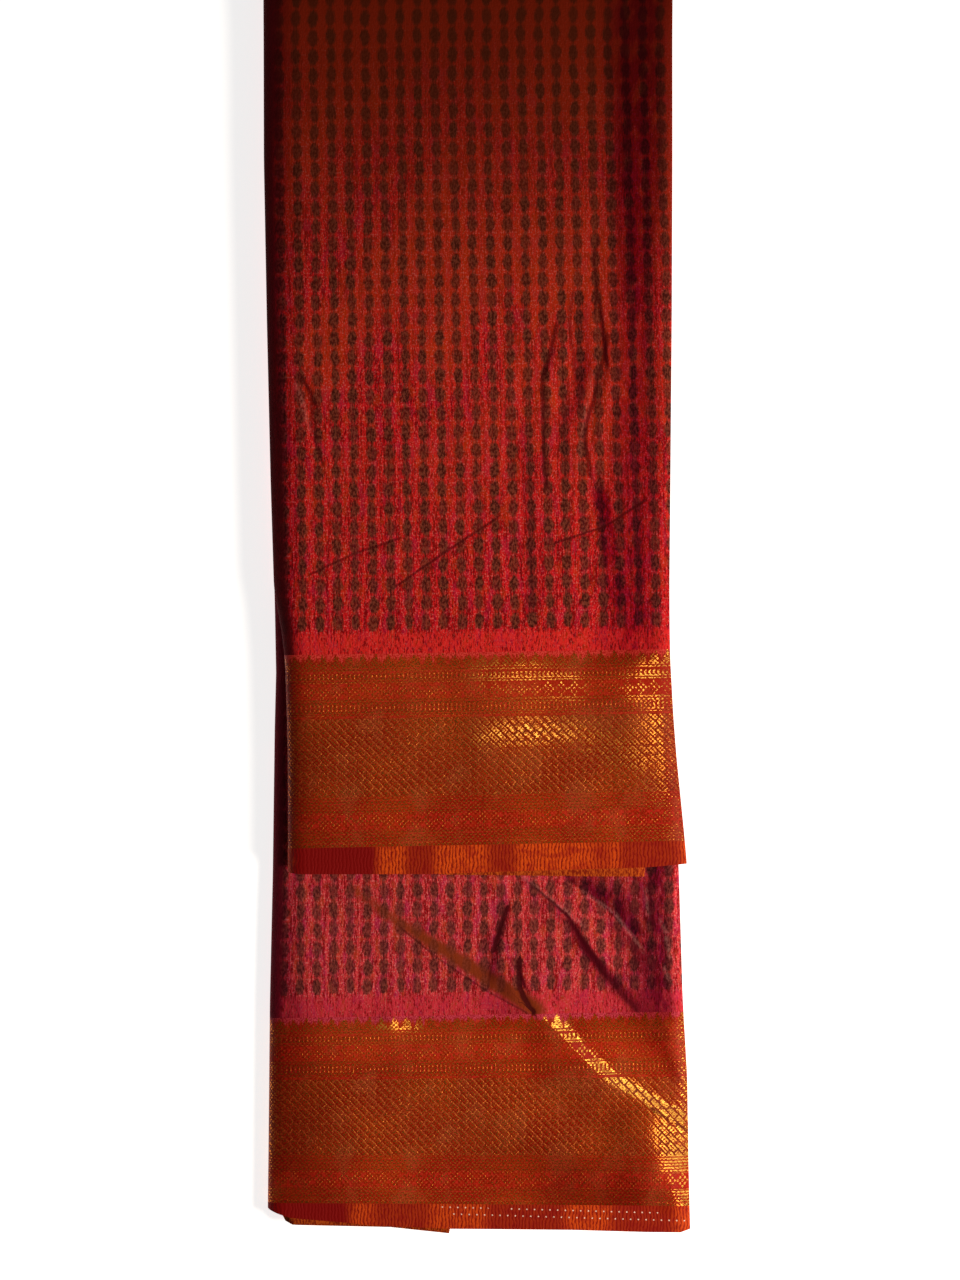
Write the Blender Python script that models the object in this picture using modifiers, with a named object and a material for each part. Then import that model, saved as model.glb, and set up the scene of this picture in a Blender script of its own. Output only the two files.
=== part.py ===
"""A sari folded in a book fold and once across, so that a short flap lies on a long one.

+X runs across the flaps, +Y along them towards the turn, and +Z up. Sizes are in millimetres and
become metres as each vertex is placed. `down` is the distance from the outer side of the turn, and
`depth` the distance into the folded cloth from its outer face, which is the long flap's underside
and the short flap's top.
"""

import math
from collections import namedtuple

import bmesh
import bpy

MM = 0.001

# The folded cloth
LENGTH = 683.2
THICK = 12.0
WALL = 1.2
SEAM = 0.3
SPINE_REACH = 9.5
TURN_HOLLOW = 1.2
TURN_EASE = 60.0
TURN_END = 24.0
TURN_RADIUS = THICK + TURN_HOLLOW
Y_TOP = LENGTH / 2

# The cloth's largest soft forms
EDGE_ROLL = 8.0
EDGE_DROP = 2.0
UNDER_SHORTER = 3.0
SWELL = 0.6
SWELL_SPACING = 190.0
CORE_EASE = 0.6
SPINE_EASE = 0.7
LIFT_FADE = 30.0

# The layers inside, whose edges show at the right and at both ends
LAYERS = 6
GROOVE = 1.2
INNER_MARGIN = 13.0
RIGHT_MARGIN = 9.0
LAYER_INSETS = (2.6, 1.2, 3.4, 1.8, 2.9, 1.0)
LAYER_WAVE = 0.9
LAYER_WAVE_SPACING = 150.0
LAYER_PHASE = 2.1
RIM_SHARE = 0.22

Edge = namedtuple("Edge", "down left right")
UPPER_EDGES = (
    Edge(0, -113.2, 103.4),
    Edge(113, -113.0, 103.4),
    Edge(198, -111.4, 103.1),
    Edge(283, -109.4, 102.4),
    Edge(340, -107.6, 101.9),
    Edge(361, -103.6, 102.0),
    Edge(379, -101.6, 102.3),
    Edge(410, -100.7, 104.0),
    Edge(431, -100.3, 105.6),
    Edge(453, -100.2, 107.8),
    Edge(475, -100.2, 110.0),
    Edge(492, -100.2, 111.2),
)
LOWER_EDGES = (
    Edge(0, -112.8, 103.0),
    Edge(198, -111.0, 102.6),
    Edge(346, -107.7, 101.0),
    Edge(379, -106.8, 101.8),
    Edge(410, -107.6, 103.4),
    Edge(492, -108.7, 107.2),
    Edge(558, -110.2, 109.2),
    Edge(601, -110.6, 111.8),
    Edge(643, -111.0, 112.4),
    Edge(667, -111.3, 113.0),
    Edge(684, -111.3, 113.4),
)

# Lines across the cloth, as the distance down at each place across
Line = namedtuple("Line", "x down")
TURN_LINE = (Line(0, TURN_END),)
UPPER_BORDER_START = (Line(-100, 375.8), Line(103, 372.6))
UPPER_SELVEDGE_START = (Line(-100, 478.1), Line(103, 474.1))
UPPER_HEM = (
    Line(-100, 491.7),
    Line(-25, 491.7),
    Line(33, 489.7),
    Line(89, 488.1),
    Line(111, 486.2),
)
UPPER_SECOND_HEM = (
    Line(-32, 488.5),
    Line(-18, 492.0),
    Line(60, 492.9),
    Line(88.5, 493.0),
    Line(89.5, 486.0),
)
LOWER_BORDER_START = (Line(-110, 568.7), Line(110, 565.0))
LOWER_SELVEDGE_START = (Line(-111, 666.7), Line(113, 668.3))
LOWER_HEM = (
    Line(-111.3, 671.0),
    Line(-99, 674.7),
    Line(-73, 676.9),
    Line(-57, 678.6),
    Line(-14, 680.6),
    Line(50, 681.1),
    Line(90, 682.2),
    Line(108, 682.4),
    Line(113.4, 680.6),
)
LOWER_SECOND_HEM = (
    Line(-104, 675.0),
    Line(-98, 678.6),
    Line(-46, 679.8),
    Line(-14.8, LENGTH),
    Line(-13.8, 677.0),
)

# Folds pressed into the panels that show: each row is a place on a fold's crest, with its height
# and how far it falls away on the side of the turn and on the side of the hem
Fold = namedtuple("Fold", "x down height turn_side hem_side")
LOWER_FOLDS = (
    (
        Fold(-72, 497, 0.3, 4, 14),
        Fold(-23, 534, 1.2, 4, 20),
        Fold(31, 565, 3.0, 9, 30),
        Fold(70, 600, 3.2, 9, 30),
        Fold(111, 628, 2.4, 8, 22),
    ),
    (
        Fold(24, 495, 0.3, 10, 5),
        Fold(49, 514, 1.4, 12, 5),
        Fold(63, 532, 1.6, 12, 5),
        Fold(90, 563, 0.3, 12, 6),
    ),
    (
        Fold(84, 622, 0.4, 14, 10),
        Fold(92, 643, 1.6, 16, 12),
        Fold(100, 664, 1.2, 12, 10),
    ),
)
UPPER_FOLDS = (
    (
        Fold(97, 40, 0.8, 7, 16),
        Fold(97, 150, 1.5, 7, 18),
        Fold(94, 300, 1.0, 8, 14),
        Fold(92, 365, 0.3, 8, 14),
    ),
    (
        Fold(47, 208, 0.3, 9, 9),
        Fold(35, 232, 1.0, 9, 9),
        Fold(34, 275, 0.3, 9, 9),
    ),
)

# Where the grids have their columns and rows
UPPER_COLUMNS = 20
LOWER_COLUMNS = 28
TURN_COLUMNS = 10
HIDDEN_COLUMNS = 5
SPINE_STEPS = 6
EDGE_COLUMNS = (5.0, 2.0, 0.0)
UPPER_ROW = 16.0
LOWER_ROW = 7.0
COVERED_ROW = 65.0
TURN_STEPS = 12
CORE_COLUMNS = (-62.0, -32.0, -14.8, -13.8, 25.0, 60.0, 88.5, 89.5)
CORE_ROW = 28.0

# Colour, roughness and metallic value of each kind of cloth
FIELD_FINISH = ("beaded_field_silk_cotton", (0.40, 0.022, 0.020), 0.75, 0.0)
BORDER_FINISH = ("gold_thread_border", (0.42, 0.10, 0.015), 0.45, 0.6)
SELVEDGE_FINISH = ("plain_selvedge_silk", (0.55, 0.06, 0.01), 0.6, 0.0)
LAYERS_FINISH = ("folded_cloth_layers", (0.30, 0.02, 0.02), 0.8, 0.0)


def smooth(share):
    """Eases from 0 to 1 as the share goes from 0 to 1."""
    share = min(max(share, 0.0), 1.0)
    return share * share * (3 - 2 * share)


def read(rows, key, value, at):
    """A table's value between its rows, held level past both ends."""
    if at <= getattr(rows[0], key):
        return getattr(rows[0], value)
    for low, high in zip(rows, rows[1:]):
        if at <= getattr(high, key):
            share = (at - getattr(low, key)) / (getattr(high, key) - getattr(low, key))
            return getattr(low, value) + share * (getattr(high, value) - getattr(low, value))
    return getattr(rows[-1], value)


def line(rows, x):
    """How far down a line across the cloth lies at this x."""
    return read(rows, "x", "down", x)


def fold_height(fold, x, down):
    """How far one fold lifts the cloth here: the highest of its stretches between two rows."""
    height = 0.0
    for start, end in zip(fold, fold[1:]):
        run_x, run_down = end.x - start.x, end.down - start.down
        from_x, from_down = x - start.x, down - start.down
        share = (from_x * run_x + from_down * run_down) / (run_x**2 + run_down**2)
        share = min(max(share, 0.0), 1.0)
        away = math.hypot(from_x - share * run_x, from_down - share * run_down)
        crest, turn_side, hem_side = (a + share * (b - a) for a, b in zip(start[2:], end[2:]))
        reach = turn_side if from_x * run_down > from_down * run_x else hem_side
        height = max(height, crest * (1 - smooth(away / reach)))
    return height


class Flap:
    """One of the two flaps: its edges, its folds, and where its panels lie."""

    def __init__(self, upper, edges, folds, free_from):
        self.upper = upper
        self.edges = edges
        self.folds = folds
        self.free_from = free_from

    def sides(self, down):
        return read(self.edges, "down", "left", down), read(self.edges, "down", "right", down)

    def lift(self, x, down, wall):
        """How far the panel that shows stands off its flat place. The layers inside follow its
        swell and its drop at the right edge, and lie clear under its folds."""
        swell = SWELL * math.cos(2 * math.pi * x / SWELL_SPACING) * math.cos(down / SWELL_SPACING)
        past = (x - self.sides(down)[1] + EDGE_ROLL) / EDGE_ROLL
        lift = swell * smooth((down - self.free_from) / LIFT_FADE)
        lift -= EDGE_DROP * min(max(past, 0.0), 1.0) ** 2 * smooth((down - TURN_END) / LIFT_FADE)
        if wall:
            return lift + max(fold_height(fold, x, down) for fold in self.folds)
        return lift - CORE_EASE

    def base(self, down):
        """The height of this flap's underside."""
        if not self.upper:
            return 0.0
        opened = smooth((TURN_EASE - down) / (TURN_EASE - TURN_RADIUS))
        return THICK + SEAM + opened * (2 * TURN_HOLLOW - SEAM)

    def place(self, x, down, depth, wall=True):
        above = THICK - depth if self.upper else depth
        shown = smooth((above - WALL - SEAM) / (THICK - 2 * (WALL + SEAM)))
        height = self.base(down) + above + shown * self.lift(x, down, wall)
        return (x * MM, (Y_TOP - down) * MM, height * MM)


UPPER = Flap(True, UPPER_EDGES, UPPER_FOLDS, 30.0)
LOWER = Flap(False, LOWER_EDGES, LOWER_FOLDS, 488.0)


def sides_in_turn(share):
    """The left and right edges round the turn, from the long flap at 0 to the short one at 1."""
    ends = zip(LOWER.sides(TURN_RADIUS), UPPER.sides(TURN_RADIUS))
    return tuple(low + share * (high - low) for low, high in ends)


def place_in_turn(x, share, depth):
    """A place round the turn, from the long flap at share 0 to the short one at share 1."""
    radius = TURN_RADIUS - depth
    angle = math.pi * share
    down = TURN_RADIUS - radius * math.sin(angle)
    height = TURN_RADIUS - radius * math.cos(angle)
    return (x * MM, (Y_TOP - down) * MM, height * MM)


Girth = namedtuple("Girth", "part share inset")


def girth_of_wrap(inner_columns, outer_columns):
    """Places round the wrap's open section: the inner face's panel from right to left, the left
    spine, and the outer face's panel from left to right. A place near the right edge is its
    inset from that edge."""

    def panel(part, columns):
        insets = EDGE_COLUMNS if columns > HIDDEN_COLUMNS else EDGE_COLUMNS[-1:]
        places = [Girth(part, step / columns, None) for step in range(columns + 1)]
        return places + [Girth(part, 1.0, inset) for inset in insets]

    spine = [Girth("spine", step / SPINE_STEPS, None) for step in range(SPINE_STEPS - 1, 0, -1)]
    return panel("inner", inner_columns)[::-1] + spine + panel("outer", outer_columns)


def on_wrap(sides, girth):
    """(x, depth) of a place on the wrap's outer surface."""
    left, right = sides
    spine_x = left + SPINE_REACH
    if girth.part == "spine":
        angle = math.pi * girth.share
        return spine_x - SPINE_REACH * math.sin(angle), THICK / 2 * (1 - math.cos(angle))
    x = spine_x + girth.share * (right - EDGE_ROLL - spine_x)
    if girth.inset is not None:
        x = right - girth.inset
    return x, 0.0 if girth.part == "outer" else THICK


def finish(name, bm, look):
    """Makes the bmesh a named object with its material, in the sari's collection."""
    label, colour, roughness, metallic = look
    material = bpy.data.materials.get(label) or bpy.data.materials.new(label)
    material.use_nodes = True
    material.diffuse_color = (*colour, 1)
    surface = material.node_tree.nodes["Principled BSDF"]
    surface.inputs["Base Color"].default_value = (*colour, 1)
    surface.inputs["Roughness"].default_value = roughness
    surface.inputs["Metallic"].default_value = metallic
    mesh = bpy.data.meshes.new(name)
    bm.to_mesh(mesh)
    bm.free()
    mesh.materials.append(material)
    piece = bpy.data.objects.new(name, mesh)
    sari.objects.link(piece)
    return piece


def wrap_stretch(name, look, stations, girth, place):
    """One stretch of the wrap, its stations in order from the long flap's hem to the short
    flap's: an open grid laid on the folded form, which Solidify makes a wall."""
    bm = bmesh.new()
    rows, columns = len(stations) - 1, len(girth) - 1
    bmesh.ops.create_grid(bm, x_segments=rows, y_segments=columns, size=0.5)
    for vertex in bm.verts:
        row = round((vertex.co.x + 0.5) * rows)
        column = round((vertex.co.y + 0.5) * columns)
        vertex.co = place(stations[row], girth[column])
    wall = finish(name, bm, look).modifiers.new("wall", "SOLIDIFY")
    wall.thickness = WALL * MM
    wall.offset = -1
    wall.use_even_offset = True


def levels(start, end, row):
    """Shares of the way from one line to another, about this far apart."""
    count = max(round((line(end, 0) - line(start, 0)) / row), 1)
    return [step / count for step in range(count + 1)]


def flap_stretch(name, look, flap, start, end, shares):
    """A stretch of one flap's wrap, between two lines across it."""
    shown = UPPER_COLUMNS if flap.upper else LOWER_COLUMNS
    columns = (HIDDEN_COLUMNS, shown) if flap.upper else (shown, HIDDEN_COLUMNS)
    at_hem = end in (UPPER_HEM, LOWER_HEM)

    def place(share, girth):
        level = line(start, 0) + share * (line(end, 0) - line(start, 0))
        x, depth = on_wrap(flap.sides(level), girth)
        covered = depth / THICK if flap.upper else 1 - depth / THICK
        near = line(start, x) + SEAM / 2
        far = line(end, x) - (covered * UNDER_SHORTER if at_hem else SEAM / 2)
        return flap.place(x, near + share * (far - near), depth)

    stations = shares if flap.upper else shares[::-1]
    wrap_stretch(name, look, stations, girth_of_wrap(*columns), place)


def turn_stretch(name, look):
    """The turn across, with a short straight run on both flaps."""
    run = (TURN_END - SEAM / 2 - TURN_RADIUS) / 2
    into = [(LOWER, TURN_RADIUS + step * run) for step in (2, 1)]
    bend = [(None, step / TURN_STEPS) for step in range(TURN_STEPS + 1)]
    out = [(UPPER, TURN_RADIUS + step * run) for step in (1, 2)]

    def place(station, girth):
        flap, at = station
        x, depth = on_wrap(flap.sides(at) if flap else sides_in_turn(at), girth)
        return flap.place(x, at, depth) if flap else place_in_turn(x, at, depth)

    girth = girth_of_wrap(TURN_COLUMNS, TURN_COLUMNS)
    wrap_stretch(name, look, into + bend + out, girth, place)


def layer_rows():
    """(depth, layer, is a groove) of each row through the thickness: a groove between every two
    layers, and both rims of each layer's edge."""
    first = WALL + SEAM
    layer_thick = (THICK - 2 * first) / LAYERS
    rows = []
    for layer in range(LAYERS):
        outer = first + layer * layer_thick
        rim = layer_thick * RIM_SHARE
        if layer:
            rows.append((outer, layer, True))
        rows.append((outer + (rim if layer else 0.0), layer, False))
        last = layer == LAYERS - 1
        rows.append((outer + layer_thick - (0.0 if last else rim), layer, False))
    return rows


def layer_inset(layer, groove, at):
    """How far inside the wrap a layer's edge, or the groove before it, lies at this place."""
    wave = LAYER_WAVE * math.sin(2 * math.pi * at / LAYER_WAVE_SPACING + layer * LAYER_PHASE)
    if groove:
        return max(LAYER_INSETS[layer], LAYER_INSETS[layer - 1]) + LAYER_WAVE + GROOVE
    return LAYER_INSETS[layer] + wave


def core_stations():
    """Rows along the layers from the long flap's hem round to the short flap's, as (flap, how
    far down or the share of the bend, at a hem)."""
    shown = round((line(LOWER_HEM, 0) - LOWER.free_from) / CORE_ROW)
    covered = round((LOWER.free_from - TURN_RADIUS) / COVERED_ROW)
    upper = round((line(UPPER_HEM, 0) - TURN_RADIUS) / CORE_ROW)
    free_run = (line(LOWER_HEM, 0) - INNER_MARGIN - LOWER.free_from) / shown
    covered_run = (LOWER.free_from - TURN_RADIUS) / covered
    upper_run = (line(UPPER_HEM, 0) - INNER_MARGIN - TURN_RADIUS) / upper
    stations = [(LOWER, None, True)]
    stations += [(LOWER, LOWER.free_from + step * free_run, False) for step in range(shown, 0, -1)]
    stations += [(LOWER, TURN_RADIUS + step * covered_run, False) for step in range(covered, 0, -1)]
    stations += [(None, step / TURN_STEPS, False) for step in range(TURN_STEPS + 1)]
    stations += [(UPPER, TURN_RADIUS + step * upper_run, False) for step in range(1, upper + 1)]
    return stations + [(UPPER, None, True)]


def layer_hem(flap, x, layer, groove):
    """How far down a layer ends. The layer next to the panel that shows has its own hem."""
    hem, second = (UPPER_HEM, UPPER_SECOND_HEM) if flap.upper else (LOWER_HEM, LOWER_SECOND_HEM)
    next_to_shown = layer == (0 if flap.upper else LAYERS - 1)
    tucked = line(hem, x) - UNDER_SHORTER
    if next_to_shown and not groove:
        return line(second, x) if second[0].x < x < second[-1].x else tucked
    return tucked - layer_inset(layer, groove, x)


def hidden_layers(name, look):
    """The folded panels inside as one solid: a box cut across into columns, rows and layers,
    with every vertex then laid in the folded form."""
    stations, rows = core_stations(), layer_rows()
    counts = (len(CORE_COLUMNS) + 3, len(stations) - 1, len(rows) - 1)
    bm = bmesh.new()
    bmesh.ops.create_cube(bm, size=1)
    bmesh.ops.translate(bm, verts=bm.verts, vec=(0.5, 0.5, 0.5))
    bmesh.ops.scale(bm, verts=bm.verts, vec=counts)
    for axis, count in enumerate(counts):
        normal = [float(axis == other) for other in range(3)]
        for step in range(1, count):
            cut = [step * part for part in normal]
            geometry = bm.verts[:] + bm.edges[:] + bm.faces[:]
            bmesh.ops.bisect_plane(bm, geom=geometry, plane_co=cut, plane_no=normal)
    for vertex in bm.verts:
        column, station, row = (round(value) for value in vertex.co)
        vertex.co = place_layer(column, stations[station], rows[row])
    bmesh.ops.recalc_face_normals(bm, faces=bm.faces)
    finish(name, bm, look)


def place_layer(column, station, row):
    """A place on the layers: their left is rounded inside the spine, and their right is edges."""
    depth, layer, groove = row
    flap, at, at_hem = station
    hem = UPPER_HEM if flap is UPPER else LOWER_HEM
    level = line(hem, 0) if at_hem else at
    left, right = flap.sides(level) if flap else sides_in_turn(at)
    inside = WALL + SEAM
    tall = (depth - THICK / 2) / (THICK / 2 - inside)
    rounding = (SPINE_REACH - inside - SPINE_EASE) * math.sqrt(max(1 - tall**2, 0.0))
    rounded = left + SPINE_REACH - rounding
    edge = right - layer_inset(layer, groove, level)
    x = (rounded, left + INNER_MARGIN, *CORE_COLUMNS, right - RIGHT_MARGIN, edge)[column]
    if not flap:
        return place_in_turn(x, at, depth)
    if at_hem:
        level = layer_hem(flap, x, layer, groove)
    return flap.place(x, level, depth, wall=False)


def lower_field_levels():
    """Rows of the long flap's field: far apart where the short flap covers it, then close."""
    shown_from = (Line(0, LOWER.free_from),)
    covered = levels(TURN_LINE, shown_from, COVERED_ROW)
    shown = levels(shown_from, LOWER_BORDER_START, LOWER_ROW)
    part = (LOWER.free_from - TURN_END) / (line(LOWER_BORDER_START, 0) - TURN_END)
    return [share * part for share in covered] + [part + share * (1 - part) for share in shown[1:]]


for item in list(bpy.data.objects):
    bpy.data.objects.remove(item)
sari = bpy.data.collections.new("folded_sari")
bpy.context.scene.collection.children.link(sari)

hidden_layers("hidden_layers", LAYERS_FINISH)
turn_stretch("turn", FIELD_FINISH)
flap_stretch(
    "lower_field", FIELD_FINISH, LOWER, TURN_LINE, LOWER_BORDER_START, lower_field_levels()
)
for name, look, flap, start, end, row in (
    ("lower_border", BORDER_FINISH, LOWER, LOWER_BORDER_START, LOWER_SELVEDGE_START, LOWER_ROW),
    ("lower_selvedge", SELVEDGE_FINISH, LOWER, LOWER_SELVEDGE_START, LOWER_HEM, LOWER_ROW),
    ("upper_field", FIELD_FINISH, UPPER, TURN_LINE, UPPER_BORDER_START, UPPER_ROW),
    ("upper_border", BORDER_FINISH, UPPER, UPPER_BORDER_START, UPPER_SELVEDGE_START, UPPER_ROW),
    ("upper_selvedge", SELVEDGE_FINISH, UPPER, UPPER_SELVEDGE_START, UPPER_HEM, LOWER_ROW),
):
    flap_stretch(name, look, flap, start, end, levels(start, end, row))
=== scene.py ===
"""Looks of a sari that is folded in a book fold and once across, laid flat and seen from above.

Shapes are worked out in millimetres on the folded form that the solids have. `down` is the distance
from the outer side of the turn, and `depth` the distance into the folded cloth from its outer face,
which is the long flap's underside and the short flap's top. Each piece carries a UV map, "cloth",
in millimetres of the woven cloth: u across it, with a bead column at every BEAD_ACROSS, and v along
it, which is 0 at the border's temple tips, below 0 in the field and above 0 towards the selvedge.
"""

import math
from collections import namedtuple
from functools import partial, reduce

import bmesh
import bpy
import numpy as np
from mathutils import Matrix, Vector


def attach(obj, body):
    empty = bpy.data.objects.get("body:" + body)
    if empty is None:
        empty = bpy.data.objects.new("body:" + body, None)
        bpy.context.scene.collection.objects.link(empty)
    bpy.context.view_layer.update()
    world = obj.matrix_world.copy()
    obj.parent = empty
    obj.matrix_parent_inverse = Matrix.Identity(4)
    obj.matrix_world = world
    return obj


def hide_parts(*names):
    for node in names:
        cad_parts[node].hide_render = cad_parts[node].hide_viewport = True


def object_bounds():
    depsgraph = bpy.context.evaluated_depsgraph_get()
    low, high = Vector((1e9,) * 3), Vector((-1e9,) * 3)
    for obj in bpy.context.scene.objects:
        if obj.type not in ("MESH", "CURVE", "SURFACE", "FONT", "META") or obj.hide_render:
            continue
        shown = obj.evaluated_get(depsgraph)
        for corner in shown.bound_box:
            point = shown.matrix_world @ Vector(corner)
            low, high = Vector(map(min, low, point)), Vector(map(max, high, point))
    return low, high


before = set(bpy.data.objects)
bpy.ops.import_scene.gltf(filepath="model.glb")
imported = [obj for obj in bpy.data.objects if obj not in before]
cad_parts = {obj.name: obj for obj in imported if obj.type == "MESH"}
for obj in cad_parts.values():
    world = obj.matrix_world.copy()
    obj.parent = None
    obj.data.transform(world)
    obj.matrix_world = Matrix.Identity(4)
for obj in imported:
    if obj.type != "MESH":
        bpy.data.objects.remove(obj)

CAD_BOX = [list(corner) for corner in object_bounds()]

MM = 0.001
Y_TOP = CAD_BOX[1][1] / MM

# The folded form, as the solids have it
THICK = 12.0
WALL = 1.2
SEAM = 0.3
SPINE_REACH = 9.5
TURN_HOLLOW = 1.2
TURN_EASE = 60.0
TURN_END = 24.0
TURN_RADIUS = THICK + TURN_HOLLOW
EDGE_ROLL = 8.0
EDGE_DROP = 2.0
UNDER_SHORTER = 3.0
SWELL = 0.6
SWELL_SPACING = 190.0
CORE_EASE = 0.6
SPINE_EASE = 0.7
LIFT_FADE = 30.0
DEEPEST = 1.3

# The cloth itself
SHELL = 0.45
STEEP = 0.05
BEAD_ACROSS = 9.2
BEAD_ALONG = 10.0
LAST_BEAD = -16.4
BORDER_DEEP = 102.8
# The way to the window in plan, along which the sheets' lean is measured to paint shade and glints
WINDOW_SIDE = (0.8, 0.6)
# How far the shading normal leans towards the window under a painted glint
WINDOW_TILT = (0.38, -0.16, 0.0)
PRESSED_FADE = 3.0


def rows_of(kind, *rows):
    """A table's rows, each with its values by name."""
    return [kind(*row) for row in rows]


Edge = namedtuple("Edge", "down left right")
UPPER_EDGES = rows_of(Edge, (0, -113.2, 103.4), (113, -113, 103.4), (198, -111.4, 103.1),
    (283, -109.4, 102.4), (340, -107.6, 101.9), (361, -103.6, 102), (379, -101.6, 102.3),
    (410, -100.7, 104), (431, -100.3, 105.6), (453, -100.2, 107.8), (475, -100.2, 110),
    (492, -100.2, 111.2))
LOWER_EDGES = rows_of(Edge, (0, -112.8, 103), (198, -111, 102.6), (346, -107.7, 101), (379, -106.8, 101.8),
    (410, -107.6, 103.4), (492, -108.7, 107.2), (558, -110.2, 109.2), (601, -110.6, 111.8),
    (643, -111, 112.4), (667, -111.3, 113), (684, -111.3, 113.4))
EDGE_ROUNDING = 5.0

# Lines across the cloth, as the distance down at each place across
Line = namedtuple("Line", "x down")
TURN_LINE = rows_of(Line, (0, TURN_END))
UPPER_BORDER_START = rows_of(Line, (-100, 375.8), (103, 372.6))
UPPER_SELVEDGE_START = rows_of(Line, (-100, 478.1), (103, 474.1))
UPPER_HEM = rows_of(Line, (-100, 491.7), (-25, 491.7), (33, 489.7), (89, 488.1), (111, 486.2))
UPPER_SECOND_HEM = rows_of(Line, (-32, 488.5), (-18, 492), (60, 492.9), (88.5, 493), (89.5, 486))
LOWER_BORDER_START = rows_of(Line, (-110, 568.7), (110, 565))
LOWER_SELVEDGE_START = rows_of(Line, (-111, 666.7), (113, 668.3))
LOWER_HEM = rows_of(Line, (-111.3, 671), (-99, 674.7), (-73, 676.9), (-57, 678.6), (-14, 680.6),
    (50, 681.1), (90, 682.2), (108, 682.4), (113.4, 680.6))
LOWER_SECOND_HEM = rows_of(Line, (-104, 675), (-98, 678.6), (-46, 679.8), (-14.8, 683.2), (-13.8, 677))

# Where the first bead column lies and how far apart the columns are, at some places down
Beads = namedtuple("Beads", "down first pitch")
UPPER_BEADS = rows_of(Beads, (55, -95.9, 9.17), (347, -92.2, 9.35))
LOWER_BEADS = rows_of(Beads, (529, -93.8, 8.87))

# Creases, each from its top down. Every place has its x and its distance down, the
# crest's height, or below zero the trough's, and how far it falls away towards the right edge and
# towards the rounded spine. One such reach stands for both sides, and with none they stay as above
UPPER_CREASES = {
    "right ridge": ((102, 30, 1, 14, 28), (102, 90, 2.2), (101, 160, 2.2, 14, 22), (100, 230, 1.6, 14, 16),
        (99, 365, 0.2, 12, 14)),
    "trough left of it": ((72, 40, -0.4, 10, 18), (71, 90, -0.9, 10, 20), (73, 150, -0.8, 10, 18),
        (80, 200, -0.3, 8, 12)),
    "spine rounding": ((-113, 30, -0.4, 20, 10), (-113, 120, -1.8, 24, 10), (-112, 220, -1.7),
        (-108, 360, -0.8, 16, 10)),
    "swelling in the field": ((47, 208, 0.3, 9), (35, 232, 1), (34, 275, 0.3)),
    "crooked crease, left": ((-98.6, 227, -0.1, 3, 4), (-89.6, 236, -0.6, 3, 5), (-86.5, 245, -0.7),
        (-88, 252, -0.5), (-81.6, 275, -0.1, 3, 4)),
    "crooked crease, right": ((50, 207, -0.1, 3), (40, 212, -0.7, 3, 4), (36, 223, -0.9, 3, 5),
        (34, 236, -0.8), (36, 252, -0.6, 3, 4), (35.5, 277, -0.1)),
    "long crease, right": ((65, 150, -0.1, 3, 4), (62, 164, -0.5, 3, 5), (63, 187, -0.5),
        (66.8, 221, -0.7), (60, 248, -0.7), (59, 279, -0.1, 3, 4)),
    "ridge beside it": ((69, 160, 0.1, 5, 3), (67, 190, 0.5), (71, 225, 0.6), (66, 252, 0.5),
        (64, 275, 0.1)),
    "hollow between creases": ((52, 221, -0.2, 5), (53, 238, -0.7, 6), (51, 254, -0.2, 5)),
    "hollow below the creases": ((64, 280, -0.2, 5), (65, 298, -0.7, 7), (70, 316, -0.2, 5)),
    "hollow above the border": ((73, 318, -0.2, 5), (75, 336, -0.6, 7), (76, 354, -0.2, 5)),
    "slanting crease, left": ((-41.9, 315, -0.1, 2, 2.5), (-66, 324, -0.5, 2.5, 3),
        (-88.5, 333, -0.1, 2, 2.5)),
    "slanting crease, middle": ((10, 304, -0.1, 2, 2.5), (-16, 322, -0.6, 2.5, 3),
        (-41.9, 340, -0.1, 2, 2.5)),
    "slanting crease, right": ((89, 294, -0.1, 2, 2.5), (62, 311, -0.6, 2.5, 3), (41, 317, -0.1, 2, 2.5)),
    "rise in the border": ((-8, 372, 0.5, 40, 20), (6, 400, 2.4, 44, 26), (4, 440, 0.6, 34, 20)),
    "rise near the right edge": ((74, 370, 0.6, 20), (80, 396, 1.8, 22, 24), (86, 440, 1.2, 22, 20)),
}
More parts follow.
